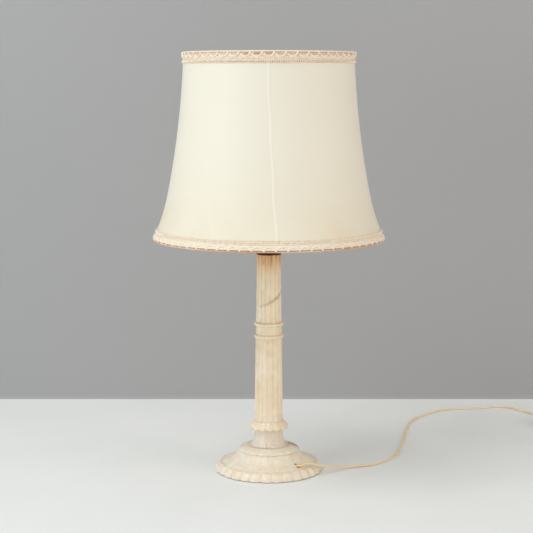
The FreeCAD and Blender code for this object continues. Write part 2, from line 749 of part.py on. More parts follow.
plug_z = coil_end.z
plug_y = coil_end.y + STUB + 40
flex_to_plug = flex("flex_to_plug", [
    (coil_end.x, coil_end.y + STUB, plug_z), (coil_end.x, coil_end.y + STUB + 9, plug_z),
    (coil_end.x + 2.3, coil_end.y + STUB + 20, plug_z - 0.7),
    (coil_end.x + 3.4, coil_end.y + STUB + 31, plug_z), (coil_end.x + 3.4, plug_y, plug_z)])
plug_x = coil_end.x + 3.4


# Inline switch: two moulded halves with a rocker in the upper one.
def oblong(body, name, level):
    """Outline of the switch in plan: straight sides that round off to its ends."""
    half, wide, end = "switch_length / 2", "switch_width / 2", "switch_end"
    slant = "switch_length / 2 - " + end
    tail = "switch_width / 4"
    sweep = "((switch_width / 4) ^ 2 + switch_end ^ 2) / (switch_width / 2)"
    return outline(body, name, "XY_Plane", [
        ("-" + tail, "-" + half, sweep), (tail, "-" + half),
        (wide, "-(" + slant + ")", sweep), (wide, slant),
        (tail, half, sweep), ("-" + tail, half),
        ("-" + wide, slant, sweep), ("-" + wide, "-(" + slant + ")")], level)


def half_case(name, level, bevel_level):
    body = doc.addObject("PartDesign::Body", name)
    pad = body.newObject("PartDesign::Pad", name + "_block")
    pad.Profile = oblong(body, name + "_outline", level)
    pad.setExpression("Length", bound("switch_half"))
    body.Tip = pad
    doc.recompute()
    names = []
    for number, edge in enumerate(pad.Shape.Edges):
        if all(abs(corner.Point.z - size(bevel_level)) < 1e-6 for corner in edge.Vertexes):
            names.append("Edge%d" % (number + 1))
    bevel = body.newObject("PartDesign::Chamfer", name + "_bevel")
    bevel.Base = (pad, names)
    bevel.setExpression("Size", bound("switch_bevel"))
    body.Tip = bevel
    return body


def pocket(body, name, length, width, level, depth):
    sketch = outline(body, name + "_outline", "XY_Plane", [
        ("-(" + width + ") / 2", "-(" + length + ") / 2"), ("(" + width + ") / 2", "-(" + length + ") / 2"),
        ("(" + width + ") / 2", "(" + length + ") / 2"), ("-(" + width + ") / 2", "(" + length + ") / 2")],
        level)
    feature = body.newObject("PartDesign::Pocket", name)
    feature.Profile = sketch
    feature.setExpression("Length", bound(depth))
    body.Tip = feature
    return feature


switch_base = half_case("switch_base", "0", "0")
switch_cover = half_case("switch_cover", "switch_half", "2 * switch_half")
pocket(switch_cover, "switch_window", "2 * (rocker_radius + rocker_gap)",
       "rocker_width + 2 * rocker_gap", "2 * switch_half", "switch_half")

switch_rocker = doc.addObject("PartDesign::Body", "switch_rocker")
rocker_outline = outline(switch_rocker, "rocker_profile", "YZ_Plane", [
    ("-rocker_radius * cos(5)", "-rocker_radius * sin(5)", "rocker_radius"),
    ("rocker_radius * cos(5)", "-rocker_radius * sin(5)"),
    ("rocker_radius * cos(30)", "rocker_radius * sin(30)", "rocker_radius"),
    ("0", "rocker_radius * 0.36"),
    ("-rocker_radius * cos(30)", "rocker_radius * sin(30)")])
rocker_pad = switch_rocker.newObject("PartDesign::Pad", "rocker_block")
rocker_pad.Profile = rocker_outline
rocker_pad.Midplane = True
rocker_pad.setExpression("Length", bound("rocker_width"))
switch_rocker.Tip = rocker_pad

switch_centre = switch_y - size("switch_length") / 2
for half in (switch_base, switch_cover):
    half.Placement = FreeCAD.Placement(V(switch_x, switch_centre, 0), FreeCAD.Rotation())
switch_rocker.Placement = FreeCAD.Placement(
    V(switch_x, switch_centre, size("rocker_pivot")), FreeCAD.Rotation(V(1, 0, 0), size("rocker_tilt")))

# Flat two-pin plug.
plug_body = doc.addObject("PartDesign::Body", "plug_body")
plug_outline = outline(plug_body, "plug_outline", "XY_Plane", [
    ("-plug_tail / 2", "0", "-plug_waist"), ("plug_tail / 2", "0"),
    ("plug_width / 2", "plug_length * plug_widest", "-plug_waist"),
    ("plug_face / 2", "plug_length", "plug_shoulder"), ("-plug_face / 2", "plug_length"),
    ("-plug_width / 2", "plug_length * plug_widest", "plug_shoulder")])
plug_block = plug_body.newObject("PartDesign::Pad", "plug_block")
plug_block.Profile = plug_outline
plug_block.setExpression("Length", bound("2 * (flex_radius + floor_gap + coil_pitch)"))
plug_body.Tip = plug_block
doc.recompute()
plug_fillet = plug_body.newObject("PartDesign::Fillet", "plug_round")
plug_fillet.Base = (plug_block, [
    "Edge%d" % (number + 1) for number, edge in enumerate(plug_block.Shape.Edges)
    if abs(edge.Vertexes[0].Point.z - edge.Vertexes[-1].Point.z) < 1e-6])
plug_fillet.setExpression("Radius", bound("plug_round"))
plug_body.Tip = plug_fillet
plug_body.Placement = FreeCAD.Placement(V(plug_x, plug_y, 0), FreeCAD.Rotation())
pins = []
for side in (-1, 1):
    pin = cylinder("pin_%s" % ("left" if side < 0 else "right"), "pin_radius", "pin_length", "0")
    pin.Placement = FreeCAD.Placement(
        V(plug_x + side * size("pin_spacing / 2"), plug_y + size("plug_length"), plug_z),
        FreeCAD.Rotation(V(0, 0, 1), V(0, 1, 0)))
    for axis in ("x", "y", "z"):
        pin.setExpression("Placement.Base." + axis, None)
    pins.append(pin)
plug_pins = joined("plug_pins", pins)

PIECES = [
    felt_pad, plinth, base_tier, neck, collar, lower_shaft, ring_drum, upper_shaft,
    stem_tube, clamp_washer, clamp_nut, top_cap,
    holder_foot, holder_shell, holder_insert, holder_sleeve, holder_contact, terminal_screws,
    shade_ring_lower, shade_ring_upper, bulb_glass, bulb_cap, bulb_insulator, bulb_button,
    shade_carrier, bottom_ring, top_ring, shade_cover, shade_lining, top_braid, bottom_braid,
    flex_inside, flex_free, flex_to_coil, flex_coil, flex_to_plug,
    switch_base, switch_cover, switch_rocker, plug_body, plug_pins]

doc.recompute()
faults = []
for item in doc.Objects:
    if "Invalid" in item.State or "Error" in item.State:
        faults.append(item.Name + " " + " ".join(item.State))
for piece in PIECES:
    shape = piece.Shape
    if shape.isNull() or not shape.isValid() or shape.Volume <= 0:
        faults.append(piece.Label + " has no sound shape")
if faults:
    raise RuntimeError("; ".join(faults))

os.makedirs("parts", exist_ok=True)
for piece in PIECES:
    piece.Shape.exportStep("parts/" + piece.Label + ".step")
    box = piece.Shape.BoundBox
    print("%-18s %d solid(s) %9.1f mm3  x %.1f..%.1f  y %.1f..%.1f  z %.1f..%.1f" % (
        piece.Label, len(piece.Shape.Solids), piece.Shape.Volume,
        box.XMin, box.XMax, box.YMin, box.YMax, box.ZMin, box.ZMax))
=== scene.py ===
# %% [markdown]
# # A column table lamp
#
# The lamp is a reeded stone column on a scalloped plinth, under a bell-shaped
# silk shade that is edged with braid. The hard model is loaded first and is
# never moved. Each piece that needs a finer surface is modelled over it, at
# the same place and size, and each piece gets a finish made of nodes. All
# lengths here are written in millimetres and turned into metres with MM.

# %% Load the lamp's hard model
import bmesh
import bpy
import math
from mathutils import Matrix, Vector


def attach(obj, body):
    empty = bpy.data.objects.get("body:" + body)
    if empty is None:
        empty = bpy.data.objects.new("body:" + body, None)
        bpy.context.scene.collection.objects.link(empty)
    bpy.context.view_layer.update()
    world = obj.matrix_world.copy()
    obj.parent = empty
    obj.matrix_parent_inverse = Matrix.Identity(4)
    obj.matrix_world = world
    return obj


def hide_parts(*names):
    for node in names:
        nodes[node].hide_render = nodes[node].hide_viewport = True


MM = 0.001
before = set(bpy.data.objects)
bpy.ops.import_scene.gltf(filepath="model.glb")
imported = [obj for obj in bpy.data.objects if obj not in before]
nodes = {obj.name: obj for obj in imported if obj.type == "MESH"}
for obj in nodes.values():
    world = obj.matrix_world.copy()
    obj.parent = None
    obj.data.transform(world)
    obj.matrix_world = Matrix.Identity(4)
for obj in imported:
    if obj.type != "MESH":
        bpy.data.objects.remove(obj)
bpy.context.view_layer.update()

# %% [markdown]
# ## Camera
#
# The picture is taken from a little above the table, about two metres away,
# with a long lens, so the shade's rim shows as a thin ellipse and the base as
# a wider one. A longer lens further off would flatten both. The sensor is the
# usual 36 mm, and the picture is square.

# %% Set the camera
LOOKS_DOWN = 7.689
eye = bpy.data.cameras.new("camera")
eye.lens = 93.22
eye.sensor_width = 36
eye.clip_end = 50
camera = bpy.data.objects.new("camera", eye)
camera.location = (-0.0035, -2.067, 0.593)
camera.rotation_euler = (math.radians(90 - LOOKS_DOWN), 0, 0)
bpy.context.collection.objects.link(camera)
bpy.context.scene.camera = camera
print("camera: %.2f m from the lamp's foot" % camera.location.length)

# %% [markdown]
# ## The bench
#
# A lamp like this is turned, carved and wound, so a few tools make nearly all
# of it. A pen draws a line point by point. A lathe spins a profile round the
# lamp's axis. A fluting tool draws one lobe, carries it up through levels and
# copies it round. A cutter joins or hollows two solids. A modeller could draw
# each shape by hand instead, but the same few moves, written once, keep every
# ring true to the axis.

# %% Pen and clean edges
SAME_PLACE = 0.002


def clear():
    """Object mode, with nothing selected."""
    if bpy.context.mode != "OBJECT":
        bpy.ops.object.mode_set(mode="OBJECT")
    bpy.ops.object.select_all(action="DESELECT")


def take(piece):
    """Make one piece the selected and active one."""
    clear()
    piece.select_set(True)
    bpy.context.view_layer.objects.active = piece


def select_mesh():
    """In edit mode, select the whole mesh."""
    bpy.ops.mesh.select_all(action="SELECT")


def take_mesh(piece):
    """Edit mode, with all of one piece's mesh selected."""
    take(piece)
    bpy.ops.object.mode_set(mode="EDIT")
    select_mesh()


def extrude(step):
    """Extrude what is selected by a step in millimetres."""
    bpy.ops.mesh.extrude_region_move(TRANSFORM_OT_translate={"value": Vector(step) * MM})


def drawn(name, path):
    """The pen: a line through places in millimetres, left selected in edit mode."""
    clear()
    bpy.ops.mesh.primitive_plane_add(size=MM)
    piece = bpy.context.object
    piece.name = piece.data.name = name
    take_mesh(piece)
    bpy.ops.mesh.select_mode(type="VERT")
    select_mesh()
    bpy.ops.mesh.merge(type="CENTER")
    bpy.ops.transform.translate(value=Vector(path[0]) * MM)
    for here, there in zip(path, path[1:]):
        extrude(Vector(there) - Vector(here))
    select_mesh()
    return piece


def close_up():
    """Merge what meets, turn the faces outwards and leave edit mode."""
    select_mesh()
    bpy.ops.mesh.remove_doubles(threshold=SAME_PLACE * MM)
    bpy.ops.mesh.normals_make_consistent(inside=False)
    bpy.ops.object.mode_set(mode="OBJECT")


def pick(piece, test):
    """In edit mode, select the vertices that pass a test."""
    bpy.ops.mesh.select_all(action="DESELECT")
    mesh = bmesh.from_edit_mesh(piece.data)
    for vertex in mesh.verts:
        if test(vertex):
            vertex.select_set(True)
    mesh.select_flush(True)
    bmesh.update_edit_mesh(piece.data)


def smooth(piece, angle):
    """Round shading, kept sharp where faces meet at more than an angle."""
    take(piece)
    bpy.ops.object.shade_smooth_by_angle(angle=math.radians(angle))


def apply_all(piece):
    """Make the result of a piece's modifiers its own mesh."""
    take(piece)
    for modifier in list(piece.modifiers):
        bpy.ops.object.modifier_apply(modifier=modifier.name)


# %% Lathe
def trace(corners, step):
    """Points along a profile of (radius, height[, radius of the arc that ends there]).

    An arc with a positive radius bulges to the right of its direction.
    """
    points = [Vector(corners[0][:2])]
    for start, end in zip(corners, corners[1:]):
        here, there = Vector(start[:2]), Vector(end[:2])
        chord = there - here
        pieces = max(1, round(chord.length / step))
        if len(end) == 3:
            reach = abs(end[2])
            along = chord.normalized()
            side = Vector((along.y, -along.x)) * math.copysign(1, end[2])
            half = math.asin(chord.length / 2 / reach)
            centre = (here + there) / 2 - side * reach * math.cos(half)
        for number in range(1, pieces + 1):
            share = number / pieces
            if len(end) == 3:
                turn = half * (2 * share - 1)
                points.append(centre + (side * math.cos(turn) + along * math.sin(turn)) * reach)
            else:
                points.append(here + chord * share)
    return [(point.x, 0, point.y) for point in points]


def turned(name, corners, steps=128, step=1.5, poles=False):
    """A profile spun round the lamp's axis; with poles it starts and ends on the axis."""
    piece = drawn(name, trace(corners if poles else corners + [corners[0][:2]], step))
    bpy.ops.mesh.spin(steps=steps, angle=2 * math.pi, center=(0, 0, 0), axis=(0, 0, 1))
    close_up()
    return piece


def eased(points, step):
    """More points on a smooth line through given (radius, height) points."""
    line = []
    last = len(points) - 1
    for index in range(last):
        a, b, c, d = (Vector(points[min(max(index + shift, 0), last)]) for shift in (-1, 0, 1, 2))
        pieces = max(1, round((c - b).length / step))
        for number in range(pieces):
            t = number / pieces
            line.append(0.5 * (2 * b + (c - a) * t + (2 * a - 5 * b + 4 * c - d) * t ** 2
                               + (3 * b - a - 3 * c + d) * t ** 3))
    line.append(Vector(points[last]))
    return [(point.x, point.y) for point in line]


# %% Fluting tool and cutter
def copy_round(count):
    """Copy what is selected round the axis, so that there are count of it."""
    bpy.ops.mesh.spin(steps=count - 1, dupli=True, angle=2 * math.pi * (count - 1) / count,
                      center=(0, 0, 0), axis=(0, 0, 1))


def reeded(name, count, turn, levels, depth, bore=None, lift=0, sides=12):
    """Convex lobes that meet in notches, carried up through levels of (crest radius, height)."""
    crest, height = levels[0]
    half = math.pi / count
    path = []
    for side in range(sides + 1):
        share = 2 * side / sides - 1
        angle = math.radians(turn) + half + half * share
        radius = crest - depth * share ** 2
        path.append((
            radius * math.cos(angle), radius * math.sin(angle), height + lift * share ** 2))
    piece = drawn(name, path)
    stages = len(levels) - 1
    for number, (wider, higher) in enumerate(levels[1:]):
        extrude((0, 0, higher - height))
        flatten = (stages - number - 1) / (stages - number) if lift else 1
        bpy.ops.transform.resize(value=(wider / crest, wider / crest, flatten),
                                 center_override=(0, 0, higher * MM))
        crest, height = wider, higher
    select_mesh()
    copy_round(count)
    select_mesh()
    bpy.ops.mesh.remove_doubles(threshold=SAME_PLACE * MM)
    ends = (levels[0], levels[-1])
    middle = (ends[0][1] + ends[1][1]) / 2 * MM
    for low, (wide, level) in zip((True, False), ends):
        pick(piece, lambda vertex: vertex.is_boundary and (vertex.co.z < middle) == low)
        if bore:
            extrude((0, 0, 0))
            share = bore / (wide - depth * wide / levels[0][0])
            bpy.ops.transform.resize(value=(share, share, 0), center_override=(0, 0, level * MM))
        else:
            bpy.ops.mesh.edge_face_add()
    if bore:
        pick(piece, lambda vertex: vertex.is_boundary)
        bpy.ops.mesh.bridge_edge_loops()
    close_up()
    return piece


def carve(piece, tool, operation="DIFFERENCE"):
    """Join a tool to a piece, or cut it away, and drop the tool."""
    cutter = piece.modifiers.new("cutter", "BOOLEAN")
    cutter.operation = operation
    cutter.solver = "EXACT"
    cutter.object = tool
    apply_all(piece)
    bpy.data.objects.remove(tool)


def rod(radius, low, high, bearing=None, level=0, sides=64):
    """A round tool, upright from low to high, or lying out from the axis at a bearing."""
    clear()
    middle = (low + high) / 2
    place, rotation = (0, 0, middle), (0, 0, 0)
    if bearing is not None:
        angle = math.radians(bearing)
        place = (middle * math.cos(angle), middle * math.sin(angle), level)
        rotation = (0, math.radians(90), angle)
    bpy.ops.mesh.primitive_cylinder_add(
        vertices=sides, radius=radius * MM, depth=(high - low) * MM,
        location=Vector(place) * MM, rotation=rotation)
    bpy.ops.object.transform_apply(location=True, rotation=True, scale=True)
    return bpy.context.object


# %% Hand-cut unevenness
def hand_cut(piece, depth, grain):
    """Shift the surface a little in and out, as a chisel and sandpaper leave it."""
    cloud = bpy.data.textures.new(piece.name + "_cut", "CLOUDS")
    cloud.noise_scale = grain * MM
    cloud.noise_depth = 2
    wave = piece.modifiers.new("hand", "DISPLACE")
    wave.texture = cloud
    wave.texture_coords = "LOCAL"
    wave.strength = depth * MM
    wave.mid_level = 0.5
    apply_all(piece)


# %% Marks on the vertices
def mark(piece, name, value):
    """Store a number on each vertex, worked out from its place in millimetres."""
    layer = piece.data.attributes.new(name, "FLOAT", "POINT")
    layer.data.foreach_set("value", [value(vertex.co / MM) for vertex in piece.data.vertices])


def notch(count, turn, power=7):
    """Near 1 in the notches between lobes and 0 on their crests."""
    def value(place):
        share = (math.degrees(math.atan2(place.y, place.x)) - turn) * count / 360 % 1
        return abs(2 * share - 1) ** power
    return value


def seams(*heights, reach=0.9):
    """Near 1 at the heights where two stones meet, and 0 further off than reach."""
    return lambda place: max(0, 1 - min(abs(place.z - height) for height in heights) / reach)


def near(line, reach):
    """Near 1 beside a line through places in millimetres, and 0 further off than reach."""
    line = [Vector(place) for place in line]

    def value(place):
        best = reach
        for a, b in zip(line, line[1:]):
            run = b - a
            share = min(max((place - a).dot(run) / run.length_squared, 0), 1)
            best = min(best, (a + run * share - place).length)
        return 1 - best / reach
    return value


def strongest(*marks):
    """The strongest of several marks, each given as (strength, mark)."""
    return lambda place: max(strength * value(place) for strength, value in marks)


# %% Put a piece in its place
def coat(piece, recipe):
    """Give a piece one finish."""
    piece.data.materials.clear()
    piece.data.materials.append(recipe.material)


def fit(piece, body, slot, recipe, *replaced):
    """Give a piece its finish and body, and hide the hard pieces that it stands for; slot is not
    used.
    """
    if recipe:
        coat(piece, recipe)
    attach(piece, body)
    if replaced:
        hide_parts(*replaced)
    print("%-18s %6d faces" % (piece.name, len(piece.data.polygons)))


# %% [markdown]
# ## Finishes
#
# Each finish is a recipe of nodes on the principled shader. Patterns read the
# piece's own coordinates in metres, or marks stored on its vertices, so they
# stay in place when the shade or the bulb turns. A painted picture would need
# an image for each piece and would show its pixels close up.

# %% A recipe for finishes
def chart(red, green, blue):
    """A colour read off a paint chart, 0 to 255, as the linear values of light."""
    levels = [value / 255 for value in (red, green, blue)]
    return (*[v / 12.92 if v <= 0.04045 else ((v + 0.055) / 1.055) ** 2.4 for v in levels], 1)


class Recipe:
    """A material under construction: each call adds a node and joins its inputs."""

    def __init__(self, name, colour, **plain):
        self.material = bpy.data.materials.new(name)
        self.material.use_nodes = True
        self.tree = self.material.node_tree
        self.shader = self.tree.nodes["Principled BSDF"]
        self.shader.inputs["Base Color"].default_value = chart(*colour)
        for socket, value in plain.items():
            self.shader.inputs[socket.replace("_", " ")].default_value = value
        self.here = self.add("TexCoord", {}, out="Object")
        print("finish:", name)

    def add(self, kind, inputs, out=0, **options):
        made = self.tree.nodes.new("ShaderNode" + kind)
        for option, value in options.items():
            setattr(made, option, value)
        for socket, value in inputs.items():
            self.join(value, made.inputs[socket])
        return made.outputs[out]

    def join(self, value, socket):
        if isinstance(value, bpy.types.NodeSocket):
            self.tree.links.new(value, socket)
        else:
            socket.default_value = value

    def rise(self, axis="Z"):
        """How far a point is along an axis, in metres."""
        return self.add("SeparateXYZ", {"Vector": self.here}, out=axis)

    def stretch(self, x, y, z, at=None):
        return self.add("Mapping", {"Vector": at or self.here, "Scale": (x, y, z)})

    def cloud(self, scale, detail=4, warp=0.0, at=None):
        return self.add("TexNoise", {"Vector": at or self.here, "Scale": scale, "Detail": detail,
                                     "Distortion": warp})

    def spread(self, value, low, high, to=(0, 1)):
        """Low gives the first number of to, and high the second."""
        return self.add("MapRange", {"Value": value, "From Min": low, "From Max": high,
                                     "To Min": to[0], "To Max": to[1]})

    def patches(self, scale, detail, low, high, to=(0, 1), warp=0.0, at=None):
        """Soft patches: a cloud spread out between two of its levels."""
        return self.spread(self.cloud(scale, detail, warp, at), low, high, to)

    def calc(self, word, a, b=0.0):
        return self.add("Math", {0: a, 1: b}, operation=word)

    def times(self, a, b):
        return self.calc("MULTIPLY", a, b)

    def tint(self, share, under, colour):
        """Lay a chart colour over another colour by a share."""
        return self.add("MixRGB", {"Fac": share, "Color1": under, "Color2": chart(*colour)})

    def tones(self, share, plain, other):
        """Colour the piece between two chart colours by a share."""
        self.colour(self.tint(share, chart(*plain), other))

    def marked(self, name):
        return self.add("Attribute", {}, out="Fac", attribute_name=name)

    def colour(self, value):
        self.join(value, self.shader.inputs["Base Color"])

    def gloss(self, value):
        self.join(value, self.shader.inputs["Roughness"])

    def relief(self, height, depth, strength=1.0, under=None):
        """Bump of a depth in millimetres, on top of another if one is given."""
        inputs = {"Height": height, "Distance": depth * MM, "Strength": strength}
        if under:
            inputs["Normal"] = under
        out = self.add("Bump", inputs)
        self.join(out, self.shader.inputs["Normal"])
        return out


def dress(recipe, *names):
    """Give hard pieces that stay as they are their finish."""
    for name in names:
        coat(nodes[name], recipe)


# %% [markdown]
# ## Stone
#
# The plinth, column and collars are alabaster, a soft translucent stone. It
# is cream with pale clouds, a few thin brown veins, and dirt in its notches
# and seams; the notches are also darkened as painted shade, the neck under
# the collar is painted darker as the collar's shadow, and a painted shadow
# lies at the flex hole. Under the iron cap rust has run down the shaft. One
# recipe serves all the stone, because the column was cut from one block, and
# the marks on the vertices say where the dirt, the painted shade and the veins are.

# %% Alabaster
TIER_FOOT, NECK_FOOT, COLLAR_FOOT, SHAFT_FOOT = 31.5, 39, 64.7, 77.5
DRUM_FOOT, DRUM_HEAD, SHAFT_HEAD = 205.2, 229.3, 333

stone = Recipe("alabaster", (232, 222, 202), Roughness=0.4, Subsurface_Weight=0.3,
               Subsurface_Scale=0.007, Subsurface_Radius=(1.0, 0.55, 0.25), IOR=1.52)
height = stone.rise()
clouds = stone.patches(17, 6, 0.36, 0.66, warp=1.1)
mist = stone.patches(70, 5, 0.45, 0.72, warp=0.6)
body = stone.tint(clouds, chart(246, 234, 211), (237, 217, 183))
body = stone.tint(stone.times(mist, 0.45), body, (221, 200, 167))
washed = stone.spread(height, 75 * MM, 30 * MM, (0, 0.55))
body = stone.tint(washed, body, (234, 227, 212))
# Painted shadow of the collar: the neck below it is darker and greyer.
painted_collar_shadow = stone.spread(height, 66 * MM, 62 * MM, (0, 0.6))
above_tier = stone.spread(height, 36 * MM, 43 * MM)
body = stone.tint(stone.times(painted_collar_shadow, above_tier), body, (222, 209, 194))
streaks = stone.patches(1, 4, 0.46, 0.70, (0, 0.3), 0.2, stone.stretch(230, 230, 11))
body = stone.tint(streaks, body, (210, 184, 144))
crack = stone.calc("ABSOLUTE", stone.calc("SUBTRACT", stone.cloud(11, 3, 1.8), 0.5))
crack = stone.spread(crack, 0.0, 0.010, (0.3, 0))
body = stone.tint(stone.times(crack, stone.patches(24, 2, 0.50, 0.62)), body, (190, 152, 110))

# %% Dirt, painted shade, veins and rust on the stone
# Brown dirt in the notches and seams; in the notches it is also painted shade.
dirt_and_shade = stone.times(stone.marked("dirt_and_shade"), stone.patches(95, 3, 0.38, 0.62, (0.105, 0.42)))
body = stone.tint(dirt_and_shade, body, (194, 154, 106))
rust = stone.calc("POWER", stone.spread(height, 285 * MM, (SHAFT_HEAD + 1) * MM), 1.6)
body = stone.tint(stone.times(rust, 0.85), body, (232, 180, 106))
drip = stone.patches(1, 3, 0.48, 0.64, warp=0.4, at=stone.stretch(190, 190, 11))
drip = stone.times(drip, stone.spread(height, 310 * MM, SHAFT_HEAD * MM, (0, 0.9)))
body = stone.tint(drip, body, (168, 104, 48))
stain = stone.spread(stone.marked("stain"), 0.05, 0.85, (0, 0.8))
body = stone.tint(stain, body, (180, 136, 94))
stone.colour(body)
stone.gloss(stone.spread(mist, 0, 1, (0.36, 0.52)))
worn = stone.relief(stone.cloud(160, 5), 0.5, 0.35)
stone.relief(stone.cloud(1100, 3), 0.06, 0.4, worn)


def finish_stone(piece, node, cut, angle, dirt_and_shade, stain=None):
    """Roughen a stone, mark its dirt, painted shade and stains and put it in its place."""
    hand_cut(piece, *cut)
    # This mark holds the dirt and also the painted shade in the notches.
    mark(piece, "dirt_and_shade", dirt_and_shade)
    if stain:
        mark(piece, "stain", stain)
    smooth(piece, angle)
    fit(piece, "lamp", "alabaster", stone, node)


# %% [markdown]
# ## Plinth
#
# The lowest stone is a flat rim of thirty scallops with a hollow cone of
# eighteen broad petals above it, cut from one piece. One scallop and one
# petal are drawn, carried up through their levels and copied round. The two
# are joined by a boolean, and the recess for the nut, the bore for the tube
# and the hole for the flex are cut out. Sculpting it freely would lose the
# even rhythm of the lobes.

# %% Rim, petals and cuts
BORE = 5.25
SCALLOPS, SCALLOP_TURN, PETALS, PETAL_TURN = 30, 9, 18, 17
RIM_SEAM = 12.9
HOLE_BEARING, HOLE_LEVEL = -47.3, 16.6
plinth = reeded("plinth_stone", SCALLOPS, SCALLOP_TURN, eased([
    (82, 1.2), (81.9, 2.6), (81.6, 4), (80.8, 6.2), (79.2, 8.5), (76.9, 10.9),
    (73.9, RIM_SEAM)], 1.2), 1.8)
petals = reeded("petals", PETALS, PETAL_TURN, eased([
    (72.4, 11.7), (71.9, RIM_SEAM), (66, 15.8), (59, 19), (52.5, 23.4), (48, 28),
    (46.5, TIER_FOOT)], 1.4), 1.1, sides=18)
carve(plinth, petals, "UNION")
carve(plinth, rod(40, -5, 24, sides=96))
carve(plinth, rod(BORE, 20, 40))
carve(plinth, rod(2.9, 30, 95, HOLE_BEARING, HOLE_LEVEL, sides=40))
rim_notch, petal_notch = notch(SCALLOPS, SCALLOP_TURN, 9), notch(PETALS, PETAL_TURN)
# A painted shadow at the mouth of the flex hole.
painted_hole_shadow = near([(44.6, -48.3, HOLE_LEVEL), (41, -44.5, HOLE_LEVEL)], 4.5)


def plinth_dirt_and_shade(place):
    """Dirt and painted shade between the scallops, fainter between the petals, a brown line along
    both seams, and a painted shadow at the flex hole.
    """
    around = math.hypot(place.x, place.y)
    on_rim = place.z < RIM_SEAM + 0.05 and around > 70
    between = rim_notch(place) if on_rim else 0.35 * petal_notch(place)
    inner_seam = 0.8 * (1 - abs(place.z - RIM_SEAM) / 0.7) if around < 75 else 0
    upper_seam = 0.8 * (1 - (TIER_FOOT - place.z) / 1.2)
    return max(0, between, inner_seam, upper_seam, 0.4 * painted_hole_shadow(place))


finish_stone(plinth, "plinth", (0.5, 14), 38, plinth_dirt_and_shade)

# %% [markdown]
# ## Tier, neck and collar
#
# A low domed ring sits on the cone, then a trumpet-shaped neck, then a collar
# of fifteen lobes, like a ruffle with a sharp lower edge. The plain ones are
# turned. The collar is fluted, and its lower edge rises a little at each
# notch. A thin brown line of old cement shows at each seam.

# %% Turn the tier and the neck
tier = turned("tier_stone", [
    (BORE, TIER_FOOT), (45.8, TIER_FOOT), (46.3, 32, 0.5), (46.3, 32.8), (45.6, 33.8, 1.5),
    (44, 35), (30.6, NECK_FOOT, 60), (BORE, NECK_FOOT)])
finish_stone(tier, "base_tier", (0.5, 12), 35, seams(TIER_FOOT, NECK_FOOT),
             near([(31, 6, 38.8), (37, 4, 37.2), (41, 2, 36)], 10))

neck = turned("neck_stone", [
    (BORE, NECK_FOOT), (29.5, NECK_FOOT), (30, 39.4, 0.5), (29.8, 39.8, 0.5), (24.2, 44.6, -7),
    (21.2, 64.2, -60), (20.8, COLLAR_FOOT), (BORE, COLLAR_FOOT)], step=1.2)
finish_stone(neck, "neck", (0.5, 12), 35, seams(NECK_FOOT, COLLAR_FOOT, reach=1.1), strongest(
    (1, near([(-3.5, -30, 39), (-3, -27, 41.5), (-3.2, -25, 44)], 1.6)),
    (1, near([(2, -30, 39), (2.2, -27.5, 41)], 1.3)),
    (0.8, near([(24.4, -4, 43.5), (27.5, -5, 40.5), (29.6, -6, 39)], 2.6))))

# %% Flute the collar
LOBES, COLLAR_TURN = 15, 21
collar = reeded("collar_stone", LOBES, COLLAR_TURN, eased([
    (28.2, COLLAR_FOOT), (29.4, 65.4), (29.9, 66.4), (29.7, 68.2), (28.9, 70.2), (27.2, 72.4),
    (25.1, 74.6), (23.4, 76.4), (22.6, SHAFT_FOOT)], 1.0), 1.9, bore=BORE, lift=1.6, sides=14)
finish_stone(collar, "collar", (0.4, 9), 40, strongest(
    (0.5, notch(LOBES, COLLAR_TURN, 6)), (1, seams(SHAFT_FOOT, reach=1.1))))

# %% [markdown]
# ## Shafts and drum
#
# The two shafts are reeded: fifteen convex staves side by side, as wide at
# their foot as a finger. They taper a little, which the eye expects of a
# column. The lobes are carried up in short steps, so that the stone's
# unevenness and the veins have points to sit on. Between them is a drum with
# a thin bead at each end.

# %% Flute the shafts
STAVES, LOWER_TURN, UPPER_TURN = 15, 1, 16
lower = reeded("lower_stone", STAVES, LOWER_TURN, eased([
    (22.5, SHAFT_FOOT), (22.4, 78.3), (22, 80), (21.7, 82.5), (21.4, 97), (21.0, 135),
    (20.1, DRUM_FOOT)], 3.5), 1.1, bore=BORE)
finish_stone(lower, "lower_shaft", (0.5, 16), 38, strongest(
    (0.75, notch(STAVES, LOWER_TURN)), (1, seams(SHAFT_FOOT, DRUM_FOOT))))

upper = reeded("upper_stone", STAVES, UPPER_TURN, eased([
    (19.7, DRUM_HEAD), (19.65, 230), (18.8, 276), (18.15, 332.2), (18.1, SHAFT_HEAD)],
    1.8), 1.1, bore=BORE)
vein = [(18.9, -1.5, 278), (13.5, -13.2, 269), (9.5, -16.6, 266), (5.2, -18.3, 263.2),
        (0, -19, 260.4), (-4, -18.6, 258.3), (-13.3, -13.4, 255)]
finish_stone(upper, "upper_shaft", (0.5, 16), 38, strongest(
    (0.7, notch(STAVES, UPPER_TURN)), (1, seams(DRUM_HEAD, SHAFT_HEAD))), strongest(
    (1, near(vein[:3], 3)), (0.75, near(vein[2:5], 2.8)), (0.5, near(vein[4:], 3.2)),
    (0.75, near([(-9.5, -15.8, SHAFT_HEAD), (-9, -16.2, 321)], 4.5)),
    (0.6, near([(14, -11.7, SHAFT_HEAD), (13.8, -12.3, 325)], 3.5))))

# %% Turn the drum
drum = turned("drum_stone", [
    (BORE, DRUM_FOOT), (21.2, DRUM_FOOT), (21.2, 210.4, 2.9), (19.7, 210.9), (19.7, 223.6),
    (20.8, 224.1), (20.8, DRUM_HEAD, 2.9), (BORE, DRUM_HEAD)], step=0.8)
finish_stone(drum, "ring_drum", (0.35, 8), 35, strongest(
    (0.8, seams(DRUM_FOOT, DRUM_HEAD, reach=0.8)), (0.9, seams(210.8, 223.9))))

